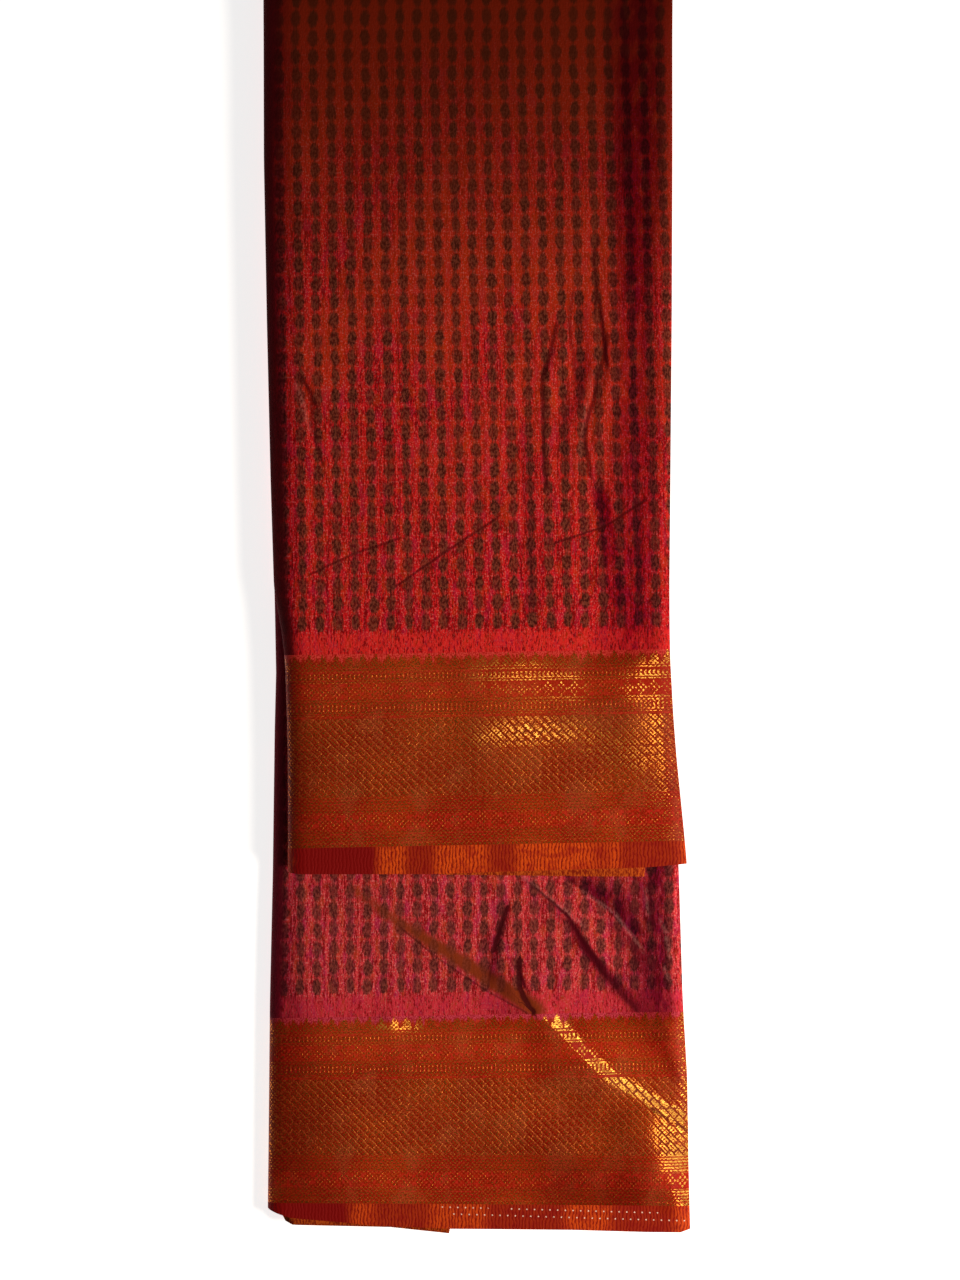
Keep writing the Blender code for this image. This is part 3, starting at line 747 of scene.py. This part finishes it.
def add(kind, *inputs, tree=None, named=None, **settings):
    """Adds a node, with its settings and its inputs in their order or named, to the tree that the
    inputs come from. A kind in capitals is an operation of the Math node. Gives the node's first
    output that is in use."""
    named = named or {}
    if not tree:
        sockets = (*inputs, *named.values())
        tree = next(value.id_data for value in sockets if isinstance(value, bpy.types.NodeSocket))
    if kind.isupper():
        kind, settings["operation"] = "Math", kind
    node = tree.nodes.new("ShaderNode" + kind)
    for name, value in settings.items():
        setattr(node, name, value)
    in_use = [socket for socket in node.inputs if socket.enabled]
    for socket, value in zip(in_use, inputs):
        give(socket, value)
    for name, value in named.items():
        give(node.inputs[name], value)
    return next(socket for socket in node.outputs if socket.enabled)


def new_material(name):
    material = bpy.data.materials.new(name)
    material.use_nodes = True
    return material, material.node_tree


def woven_place(tree):
    """The place on the woven cloth in millimetres, and its u and v."""
    place = add("UVMap", tree=tree, uv_map="cloth")
    return (place, *add("SeparateXYZ", place).node.outputs[:2])


def finish(material, **inputs):
    """Gives the material's Principled shader its inputs."""
    for name, value in inputs.items():
        give(material.node_tree.nodes["Principled BSDF"].inputs[name.replace("_", " ")], value)
    return material


def noise(place, across, along, detail=2.0, rough=0.6):
    """Noise whose grains are this many millimetres across the cloth and along it."""
    spread = add("Mapping", place, named={"Scale": (1 / across, 1 / along, 1)})
    return add("TexNoise", spread, named={"Scale": 1.0, "Detail": detail, "Roughness": rough})


def ramp(value, low, high):
    """0 below low, 1 above high, and eased between them."""
    return add("MapRange", value, low, high, 0.0, 1.0, interpolation_type="SMOOTHSTEP")


def blend(share, under, over, most=1.0):
    """Lays a colour over another, by a share of at most `most`."""
    if most != 1.0:
        share = add("MULTIPLY", share, most)
    return add("Mix", share, under, over, data_type="RGBA")


def layered(colour, *coats):
    """Lays coats over a colour, each with its share, its colour and the most of its share."""
    for share, *coat in coats:
        colour = blend(share, colour, *coat)
    return colour


def darkened(share, colour, tint):
    """A colour with a tint laid through it."""
    return add("Mix", share, colour, tint, data_type="RGBA", blend_type="MULTIPLY")


def bump(strength, tall, height, **normal):
    """The normal of a relief that stands this many millimetres tall."""
    return add("Bump", named={"Strength": strength, "Distance": tall * MM, "Height": height, **normal})


def mark(place, name):
    """A value that the sheet carries."""
    return add("Attribute", tree=place.id_data, attribute_name=name).node.outputs["Fac"]


def on_part(tree):
    """The place on the part in metres, and its x and y."""
    place = add("TexCoord", tree=tree).node.outputs["Object"]
    return (place, *add("SeparateXYZ", place).node.outputs[:2])


def wave(value, pitch):
    return add("COSINE", add("MULTIPLY", value, 2 * math.pi / pitch))


def from_middle(value, pitch, offset=0.0):
    """How far each place is from the middle of its repeat, in millimetres."""
    part = add("FRACT", add("MULTIPLY_ADD", value, 1 / pitch, offset))
    return add("ABSOLUTE", add("MULTIPLY", add("SUBTRACT", part, 0.5), pitch))


def from_whole(turns, pitch):
    """The nearest whole turn, and how far each place is from it in millimetres."""
    whole = add("ROUND", turns)
    return whole, add("ABSOLUTE", add("MULTIPLY", add("SUBTRACT", turns, whole), pitch))


def creased(place):
    """How much painted shade darkens the cloth here along a pressed crease, with sides that wander."""
    wander = add("MULTIPLY_ADD", noise(place, 7, 7, 2.0, 0.55), 0.9, -0.45)
    beside = add("ABSOLUTE", add("ADD", mark(place, "beside_crease"), wander))
    return add("MULTIPLY", ramp(beside, 1.0, 0.2), mark(place, "pressed"), use_clamp=True)


BEAD_HALF_WIDE = 2.5
BEAD_HALF_TALL = 4.6
BEAD_ROUNDNESS = 1.8
BEAD_WAVER = 2.6
BEAD_FRAY = 1.3
BEAD_ROUGH = 0.7
BEADS_TO = 0.42
LINK_FRAY = 3.2
BEAD_SIDE = (2.7, 1.5)
LINK_SIDE = (3.7, 1.9)


def bead_strings(place, u, v, streaks, grain):
    """How much of a bead or of the thread that links the beads shows here."""
    waver = add("SUBTRACT", noise(place, 11, 24, 1.0, 0.55), 0.5)
    columns = add("DIVIDE", add("MULTIPLY_ADD", waver, BEAD_WAVER, u), BEAD_ACROSS)
    column, aside = from_whole(columns, BEAD_ACROSS)
    own_column = add("TexWhiteNoise", column, noise_dimensions="1D")
    shift = add("MULTIPLY_ADD", own_column, 1.0, -LAST_BEAD - 0.5)
    rows = add("DIVIDE", add("ADD", v, shift), BEAD_ALONG)
    row, along = from_whole(rows, BEAD_ALONG)
    wide = add("POWER", add("DIVIDE", aside, BEAD_HALF_WIDE), BEAD_ROUNDNESS)
    tall = add("POWER", add("DIVIDE", along, BEAD_HALF_TALL), BEAD_ROUNDNESS)
    reach = add("MULTIPLY_ADD", streaks, BEAD_FRAY, add("ADD", wide, tall))
    reach = add("MULTIPLY_ADD", grain, BEAD_ROUGH, reach)
    own = add("TexWhiteNoise", add("CombineXYZ", column, row), noise_dimensions="2D")
    bead = add("MULTIPLY", ramp(reach, *BEAD_SIDE), add("MULTIPLY_ADD", own, 0.16, 0.78))
    link = ramp(add("MULTIPLY_ADD", streaks, LINK_FRAY, aside), *LINK_SIDE)
    link = add("MULTIPLY", link, add("MULTIPLY_ADD", own_column, 0.45, 0.28))
    return add("MULTIPLY", add("MAXIMUM", bead, link), add("LESS_THAN", rows, BEADS_TO))


# Some hues are painted light and shade: the main pleat's sheen, the shade and crease tints, the hue where
# the cloth faces away from the window, and the darker hues towards the top
Hues = namedtuple(
    "Hues",
    "plain bright pink orange speck strip bead bead_thread orange_side shade away crease"
    " far far_bead far_from far_to",
)
TOP_SHEEN_FROM = 130 * MM
STRIP_START = (LAST_BEAD + 4, LAST_BEAD + 7)


def beaded_field(name, hues):
    """Silk and cotton in plain weave, crimson shot with pink and orange, with brown beads woven in
    strings. Slubs run along the cloth as streaks, and pale cotton shows between the threads in
    fine specks. Light and shade are painted on it too: darker towards the top, with an orange sheen
    in patches there, a purple-crimson shade in the marked folds and where the cloth faces away from
    the window, dark pressed creases, pale highlights along some crests, and an orange-brown sheen on
    the main pleat's side that faces the window."""
    material, tree = new_material(name)
    place, u, v = woven_place(tree)
    up = on_part(tree)[2]
    fine = noise(place, 0.8, 3.4)
    grain = noise(place, 1.1, 2.0)
    streaks = ramp(add("MULTIPLY_ADD", noise(place, 1.7, 30), 0.75, fine), 0.73, 1.01)
    shot = noise(place, 5, 13)
    # Painted sheen: the shot silk's orange sheen, in patches that grow towards the top
    painted_top_sheen = add("MULTIPLY", ramp(noise(place, 60, 80, 2.0, 0.5), 0.4, 0.6), ramp(up, 0, TOP_SHEEN_FROM))
    dots = ramp(noise(place, 0.8, 1.1, 1.0, 0.5), 0.54, 0.64)
    strip = add("MULTIPLY", ramp(v, *STRIP_START), ramp(fine, 0.38, 0.56))
    # Painted sheen: the main pleat's side that faces the window turns orange-brown, over the beads too
    pleat_sheen = mark(place, "orange")
    # Painted shade: the cloth darkens towards the top, into the far hue
    far = ramp(up, hues.far_from * MM, hues.far_to * MM)
    colour = layered(
        hues.plain,
        (streaks, hues.bright),
        (ramp(shot, 0.52, 0.66), hues.pink, 0.5),
        (ramp(shot, 0.46, 0.34), hues.orange, 0.42),
        (painted_top_sheen, hues.orange, 0.5),
        (add("MULTIPLY", dots, add("MULTIPLY_ADD", streaks, 0.7, 0.3)), hues.speck, 0.36),
        (strip, hues.strip, 0.75),
        (pleat_sheen, hues.orange_side, 0.9),
        (far, hues.far),
    )
    # The beads take the same painted shade towards the top
    bead = layered(hues.bead, (ramp(grain, 0.42, 0.6), hues.bead_thread), (far, hues.far_bead))
    beads = bead_strings(place, u, v, fine, grain)
    colour = layered(colour, (beads, bead), (pleat_sheen, hues.orange_side, 0.5))
    # Painted shade: the shade mark darkens the cloth with a purple-crimson tint, broken up by noise
    uneven = add("MULTIPLY_ADD", noise(place, 6, 12), 2.2, -0.15, use_clamp=True)
    colour = darkened(add("MULTIPLY", mark(place, "shade"), uneven), colour, hues.shade)
    colour = layered(
        colour,
        # Painted shade where the cloth rises towards the window and so faces away from it
        (ramp(mark(place, "lean"), 0.06, 0.36), hues.away, 0.9),
        # Painted highlight along crests, in the pale speck colour
        (add("MULTIPLY", mark(place, "pale"), ramp(grain, 0.34, 0.56)), hues.speck, 0.2),
        # Painted shade along the pressed creases
        (creased(place), hues.crease, 0.9),
    )
    return finish(
        material,
        Base_Color=colour,
        Normal=bump(0.8, 0.3, add("MULTIPLY_ADD", fine, 0.6, grain)),
        Roughness=0.75,
        Specular_IOR_Level=0.06,
        Sheen_Weight=0.03,
        Sheen_Roughness=0.4,
        Sheen_Tint="#E03C50",
    )


TEMPLE_PITCH = 6.9
TEMPLE_TALL = 7.4
RAGGED = 12.0
WEAVE_PITCH = 2.4
BAR_PITCH = TEMPLE_PITCH / 3
LINE_PITCH = 1.6
DOT_ACROSS = 1.35
DOT_ALONG = 1.6
BRICKS = {"Scale": 1.0, "Mortar Size": 0.65, "Mortar Smooth": 0.6, "Brick Width": 6.4, "Row Height": 3.3}

# Where each pattern starts and ends along the border, in v
BAR_ZONES = ((10.6, 13.3), (27.0, 30.7))
DIAMOND_ZONES = ((16.2, 24.0), (85.3, 93.1))
MAT_ZONE = (34.4, 75.8)
LINE_ZONES = ((7.4, 9.9), (13.3, 15.4), (24.0, 27.0), (30.7, 32.9), (75.8, 85.3), (93.8, 101.2))
RED_LINES = ((9.9, 10.6), (15.4, 16.2), (32.9, 34.4), (50.9, 51.4), (93.1, 93.8))


def inside(value, start, end):
    """1 where the value lies between the two."""
    return add("COMPARE", value, (start + end) / 2, (end - start) / 2)


def diamond_gaps(u, v, zone):
    """The red ground round the diamonds of one row, each nine gold dots."""
    aside = from_middle(u, TEMPLE_PITCH)
    along = add("ABSOLUTE", add("SUBTRACT", v, sum(zone) / 2))
    dots = add("MULTIPLY", wave(aside, 2 * DOT_ACROSS), wave(along, 2 * DOT_ALONG))
    reach = add("MULTIPLY", aside, 1 / (2 * DOT_ACROSS))
    reach = add("MULTIPLY_ADD", along, 1 / (2 * DOT_ALONG), reach)
    gold = add("MULTIPLY", ramp(dots, 0.0, 0.55), ramp(reach, 1.35, 1.15))
    return add("SUBTRACT", 1.0, gold)


def mat_lines(place, shift=0.0):
    """The lines between the mat's slanting bricks, or the same lines shifted to the lower left."""
    uneven = add("Mapping", place, named={"Scale": (0.3, 0.3, 0.3)})
    uneven = add("TexNoise", uneven, named={"Scale": 1.0, "Detail": 2.0}).node.outputs["Color"]
    stray = (shift - 0.8, -shift - 0.8, 0)
    moved = add("VectorMath", uneven, (1.6, 1.6, 0), stray, operation="MULTIPLY_ADD")
    moved = add("VectorMath", place, moved, operation="ADD")
    slant = add("Mapping", moved, named={"Rotation": (0, 0, math.radians(-45))})
    return add("TexBrick", slant, named=BRICKS).node.outputs["Fac"]


def gold_pattern(place, u, v):
    """1 where gold thread lies on top, and 0 where the red silk shows, in the border's zones."""
    bars = ramp(from_middle(u, BAR_PITCH), BAR_PITCH * 0.2, BAR_PITCH * 0.35)
    fine_lines = ramp(from_middle(v, LINE_PITCH), 0.3, 0.6)
    gaps = [(zone, bars) for zone in BAR_ZONES]
    gaps += [(zone, fine_lines) for zone in LINE_ZONES]
    gaps += [(zone, diamond_gaps(u, v, zone)) for zone in DIAMOND_ZONES]
    gaps += [(MAT_ZONE, mat_lines(place))]
    lost = [add("MULTIPLY", inside(v, *zone), gap) for zone, gap in gaps]
    lost += [inside(v, *zone) for zone in RED_LINES]
    slope = add("MULTIPLY", from_middle(u, TEMPLE_PITCH), 2 * TEMPLE_TALL / TEMPLE_PITCH)
    ragged = add("MULTIPLY_ADD", noise(place, 1.3, 5), RAGGED, slope)
    temples = add("LESS_THAN", ragged, add("ADD", v, RAGGED / 2))
    return add("SUBTRACT", temples, reduce(partial(add, "ADD"), lost), use_clamp=True)


def gold_border(name, field_dark, field_light):
    """Flat gold thread woven over red silk. The threads are metal, so they glint where the cloth
    tilts to the light and let the orange-brown silk between them tell where it lies flat. They
    run across the cloth, so they spread the glint along it. A real thread is 0.25 mm, and its
    dashes are drawn three times that to show. The silk's own weave is a fine grid."""
    material, tree = new_material(name)
    place, u, v = woven_place(tree)
    gold = gold_pattern(place, u, v)
    dashes = noise(place, 1.2, 0.6)
    grain = noise(place, 0.8, 0.9, 2.0, 0.7)
    patches = noise(place, 34, 26, 2.0, 0.5)
    grid = add("MULTIPLY", wave(u, WEAVE_PITCH), wave(v, WEAVE_PITCH))
    # Painted glint where marked lit, with noise breaking its edges: more gold shows, painted lighter and
    # less metallic, and its shading normal leans towards the window
    glint_breakup = add("MULTIPLY_ADD", noise(place, 5, 4), 3.0, -0.7, use_clamp=True)
    lit = add("MULTIPLY", mark(place, "lit"), glint_breakup)
    # Painted glint where the cloth faces the window: more gold shows and its thread is painted lighter
    facing = ramp(mark(place, "lean"), -0.08, -0.35)
    cover = dashes
    for cause, weight in ((patches, 0.1), (facing, 0.07), (lit, 0.08), (mark(place, "dull"), -0.15)):
        cover = add("MULTIPLY_ADD", cause, weight, cover)
    cover = add("MULTIPLY_ADD", grid, add("MULTIPLY_ADD", facing, -0.11, 0.16), cover)
    metal = add("MULTIPLY", gold, ramp(cover, 0.58, 0.66))

    # The silk under the thread, from its broad patches to its finest grain, with painted light and
    # shade laid on it
    in_mat = inside(v, *MAT_ZONE)
    off_mat = add("SUBTRACT", 1.0, in_mat)
    # Painted highlight along one side of each brick, from the lines shifted to the lower left, and dark
    # lines between bricks that are partly joints and partly painted shade, stronger where a glint is
    # painted
    light = add("MULTIPLY", in_mat, mat_lines(place, 0.5))
    lines = add("MULTIPLY", in_mat, mat_lines(place))
    silk = layered(
        "#9E1C06",
        (ramp(patches, 0.38, 0.66), "#B4320A"),
        (ramp(noise(place, 17, 24, 2.0, 0.5), 0.5, 0.68), "#BC5C34", 0.35),
        # Painted pool of light on the silk where marked glow
        (mark(place, "glow"), "#E86024", 0.26),
        (ramp(grain, 0.6, 0.35), "#6E1402", 0.8),
        (ramp(add("MULTIPLY", grid, ramp(grain, 0.36, 0.6)), 0.0, 0.7), "#D87038", 0.3),
        (add("MULTIPLY", light, ramp(grain, 0.42, 0.56)), "#DC8040", 0.3),
        (add("MULTIPLY", lines, add("MULTIPLY_ADD", lit, 0.55, 0.25)), "#5E1002"),
    )

    # The red ground where no gold is woven in, with the field's threads above the temples
    flecks = ramp(noise(place, 1.5, 2.2), 0.52, 0.58)
    red_dashes = ramp(noise(place, 3.2, 1.8, 1.0, 0.5), 0.5, 0.58)
    dashed = [add("MULTIPLY", inside(v, *zone), red_dashes) for zone in DIAMOND_ZONES]
    field = blend(ramp(grain, 0.4, 0.6), field_dark, field_light)
    above_temples = ramp(add("MULTIPLY_ADD", noise(place, 1.1, 14), -12.0, v), -2.6, -3.8)
    bare = layered(
        silk,
        (add("MULTIPLY", flecks, off_mat), "#CC2820", 0.55),
        *((share, "#C82414", 0.3) for share in dashed),
        # Painted light on the red ground where a glint is painted
        (add("MULTIPLY", lit, off_mat), "#A81A0C", 0.8),
        (above_temples, field),
    )
    # The gold thread is painted lighter where a glint is painted or where the cloth faces the window
    thread = blend(add("MAXIMUM", lit, facing), "#F08E34", "#FCB84C")
    # The gold is laid on, then painted shade along the pressed creases
    colour = layered(bare, (gold, silk), (metal, thread), (creased(place), "#4E1406", 0.85))

    # The painted glint's shading normal, leaned towards the window
    tilt = add("VectorMath", WINDOW_TILT, named={"Scale": add("MULTIPLY", lit, metal)}, operation="SCALE")
    upright = add("NewGeometry", tree=tree).node.outputs["Normal"]
    tilted = add("VectorMath", add("VectorMath", upright, tilt, operation="ADD"), operation="NORMALIZE")
    return finish(
        material,
        # Painted shade from the shade mark darkens the border too
        Base_Color=darkened(mark(place, "shade"), colour, "#C4A69A"),
        Metallic=add("MULTIPLY", metal, add("MULTIPLY_ADD", lit, -0.75, 1.0)),
        Roughness=add("MULTIPLY_ADD", metal, -0.2, 0.65),
        Normal=bump(0.8, 0.26, add("MULTIPLY", gold, dashes), Normal=tilted),
        Tangent=add("Tangent", tree=tree, direction_type="UV_MAP", uv_map="cloth"),
        Specular_IOR_Level=0.1,
        Anisotropic=0.9,
        Anisotropic_Rotation=0.25,
    )


Stain = namedtuple("Stain", "x reach strength")
UPPER_STAINS = rows_of(Stain, (-76, 23, 1.0), (-30, 7, 0.75), (13, 7, 0.65), (66, 5, 0.4), (92, 16, 0.7))
LOWER_STAINS = rows_of(Stain, (-92, 24, 1.0), (-40, 14, 0.6), (26, 20, 0.7), (88, 16, 0.7), (0, 110, 0.2))
Pinholes = namedtuple("Pinholes", "from_x to_x past slope shift")
PINHOLE_PITCH = 4.08
PINHOLE_ROWS = rows_of(
    Pinholes, (-20, 6, 1.97, 0.0189, 0.0), (16, 97, 1.97, 0.0189, 0.0), (-14, 112, 5.56, 0.0214, 0.5)
)
PINHOLE_SIDE = (0.52, 0.2)
RIB_PITCH = 1.85


def pinholes(x, past, rows):
    """1 at each tiny hole that the loom's pins leave beside the selvedge's edge."""
    total = 0.0
    for row in rows:
        aside = from_middle(x, PINHOLE_PITCH, row.shift)
        along = add("SUBTRACT", past, add("MULTIPLY_ADD", x, row.slope, row.past))
        away = add("VectorMath", add("CombineXYZ", aside, along), operation="LENGTH")
        spot = add("MULTIPLY", ramp(away, *PINHOLE_SIDE), inside(x, row.from_x, row.to_x))
        total = add("ADD", spot, total)
    return total


def plain_selvedge(name, stains, pins):
    """Plain orange silk with fine slubs along the cloth, and red dye that has run into it."""
    material, tree = new_material(name)
    place, u, v = woven_place(tree)
    x = add("MULTIPLY", on_part(tree)[1], 1 / MM)
    fine = noise(place, 0.8, 2.4, 3.0, 0.65)
    mottle = noise(place, 9, 7, 3.0)
    slant = add("MULTIPLY_ADD", noise(place, 6, 6), 3.4, u)
    ribs = ramp(from_middle(slant, RIB_PITCH), RIB_PITCH * 0.5, RIB_PITCH * 0.12)
    threads = ramp(add("MULTIPLY_ADD", ribs, 0.35, fine), 0.42, 0.92)
    colour = layered("#820C04", (threads, "#E0500E"), (ramp(mottle, 0.46, 0.66), "#98160A", 0.6))
    for stain in stains:
        away = add("ABSOLUTE", add("SUBTRACT", x, stain.x))
        away = add("MULTIPLY_ADD", mottle, 12.0, away)
        stained = ramp(away, stain.reach + 10, stain.reach + 3)
        colour = blend(stained, colour, "#820604", stain.strength)
    if pins:
        colour = blend(pinholes(x, add("SUBTRACT", v, BORDER_DEEP), pins), colour, "#F8D8C0")
    return finish(
        material,
        Base_Color=colour,
        Normal=bump(0.6, 0.25, add("MULTIPLY_ADD", ribs, 0.6, fine)),
        Roughness=0.65,
        Specular_IOR_Level=0.08,
    )


def layer_edges(name):
    """The folded edges of the same cloth: crimson along the field, gold-brown along the borders,
    orange at the selvedges, each with fine slubs."""
    material, tree = new_material(name)
    place, _, v = woven_place(tree)
    fine = noise(place, 1.2, 5, 3.0)
    ribs = ramp(noise(place, 0.9, 2.6), 0.4, 0.62)
    colour = layered(
        blend(fine, "#701410", "#A83030"),
        (add("GREATER_THAN", v, 0.0), blend(fine, "#8A3A12", "#C88A3C")),
        (add("GREATER_THAN", v, BORDER_DEEP), blend(ribs, "#821C04", "#C65214")),
    )
    return finish(
        material,
        Base_Color=colour,
        Normal=bump(0.5, 0.25, fine),
        Roughness=0.7,
        Specular_IOR_Level=0.12,
    )


def pale_floor(name):
    """Matt white paper, which stays pale behind the cloth."""
    material, tree = new_material(name)
    mottle = add("TexNoise", on_part(tree)[0], named={"Scale": 40.0, "Detail": 3.0})
    return finish(
        material,
        Base_Color=blend(mottle, "#F2F2F0", "#FAFAF9"),
        Roughness=0.9,
        Emission_Color="#FFFFFF",
        Emission_Strength=0.78,
    )


# The pieces

# The field's colours, among them the painted sheen, shade, crease and top-shade hues
FIELD = beaded_field("silk_cotton_with_woven_beads", Hues(
    plain="#820206", bright="#E01C20", pink="#CA1A3E", orange="#CC3A08", speck="#F89488",
    strip="#E82C26", bead="#36120A", bead_thread="#763A28", orange_side="#82300E",
    shade="#B43CB0", away="#480308", crease="#480406",
    far="#741A02", far_bead="#441705", far_from=90, far_to=335,
))
FIELD_BACK = beaded_field("silk_cotton_reverse_side", Hues(
    plain="#88060E", bright="#DA3A40", pink="#C22654", orange="#CA4A22", speck="#FAA69C",
    strip="#CA2A3A", bead="#421614", bead_thread="#7A382E", orange_side="#82300E",
    shade="#8E2C90", away="#600518", crease="#3A0208",
    far="#9E181E", far_bead="#5E2A18", far_from=60, far_to=330,
))
BORDER = gold_border("gold_thread_brocade_over_silk", "#B81814", "#E64A40")
BORDER_BACK = gold_border("gold_thread_brocade_reverse_side", "#9C1426", "#D04654")
UPPER_PLAIN = plain_selvedge("dyed_silk_selvedge_short_flap", UPPER_STAINS, ())
LOWER_PLAIN = plain_selvedge("dyed_silk_selvedge_long_flap", LOWER_STAINS, PINHOLE_ROWS)
EDGES = layer_edges("folded_silk_cotton_edges")

Stretch = namedtuple("Stretch", "node slot material flap start end")
STRETCHES = rows_of(
    Stretch,
    ("upper_field", "beaded_field", FIELD, UPPER, TURN_LINE, UPPER_BORDER_START),
    ("upper_border", "gold_border", BORDER, UPPER, UPPER_BORDER_START, UPPER_SELVEDGE_START),
    ("upper_selvedge", "plain_selvedge", UPPER_PLAIN, UPPER, UPPER_SELVEDGE_START, UPPER_HEM),
    ("lower_field", "beaded_field", FIELD_BACK, LOWER, TURN_LINE, LOWER_BORDER_START),
    ("lower_border", "gold_border", BORDER_BACK, LOWER, LOWER_BORDER_START, LOWER_SELVEDGE_START),
    ("lower_selvedge", "plain_selvedge", LOWER_PLAIN, LOWER, LOWER_SELVEDGE_START, LOWER_HEM),
)


def settle(piece, node, material):
    """A finished piece stands for its CAD node, rides on the body and has its material."""
    piece.data.materials.append(material)
    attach(piece, "root")
    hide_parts(node)


layers = hidden_layers("sari_folded_layers")
settle(layers, "hidden_layers", EDGES)

turn = turn_sheet("sari_turn")
settle(turn, "turn", FIELD)

for node, slot, material, flap, start, end in STRETCHES:
    shares = lower_field_shares() if node == "lower_field" else even_shares(start, end, SHOWN_ROW)
    sheet = flap_sheet("sari_" + node, flap, start, end, shares)
    settle(sheet, node, material)
    length = (line(end, 0) - line(start, 0)) * MM

# The floor, the light and the camera

bm = bmesh.new()
bmesh.ops.create_grid(bm, x_segments=1, y_segments=1, size=4.0)
bmesh.ops.translate(bm, verts=bm.verts, vec=(0, 0, -0.0003))
floor_mesh = bpy.data.meshes.new("floor")
bm.to_mesh(floor_mesh)
bm.free()
floor = bpy.data.objects.new("floor", floor_mesh)
floor.data.materials.append(pale_floor("matt_white_paper"))
bpy.context.scene.collection.objects.link(floor)

WINDOW_AT = Vector((0.66, -0.37, 0.67))
WINDOW_AIM = Vector((0.0, -0.16, 0.0))
window = bpy.data.lights.new("window_light", "AREA")
window.shape = "DISK"
window.size = 0.34
window.energy = 9.7
window.color = linear("#FFF4E6")[:3]
light = bpy.data.objects.new("window_light", window)
light.location = WINDOW_AT
light.rotation_euler = (WINDOW_AIM - WINDOW_AT).to_track_quat("-Z", "Y").to_euler()
bpy.context.scene.collection.objects.link(light)

world = bpy.data.worlds.new("room")
world.use_nodes = True
world.node_tree.nodes["Background"].inputs[0].default_value = linear("#F6F4F2")
world.node_tree.nodes["Background"].inputs[1].default_value = 0.1
bpy.context.scene.world = world
bpy.context.scene.view_settings.view_transform = "Standard"

# The photo's long side spans this much of the cloth, straight below the camera
FRAME_LONG_SIDE = 0.6784
FRAME_MIDDLE = (0.0016, -0.0262)
CAMERA_HEIGHT = 3.0
SHOWN_HEIGHT = 0.018
camera = bpy.data.cameras.new("camera")
camera.sensor_width = 36
camera.lens = camera.sensor_width * (CAMERA_HEIGHT - SHOWN_HEIGHT) / FRAME_LONG_SIDE
eye = bpy.data.objects.new("camera", camera)
eye.location = (*FRAME_MIDDLE, CAMERA_HEIGHT)
bpy.context.scene.collection.objects.link(eye)
bpy.context.scene.camera = eye

bpy.context.view_layer.update()
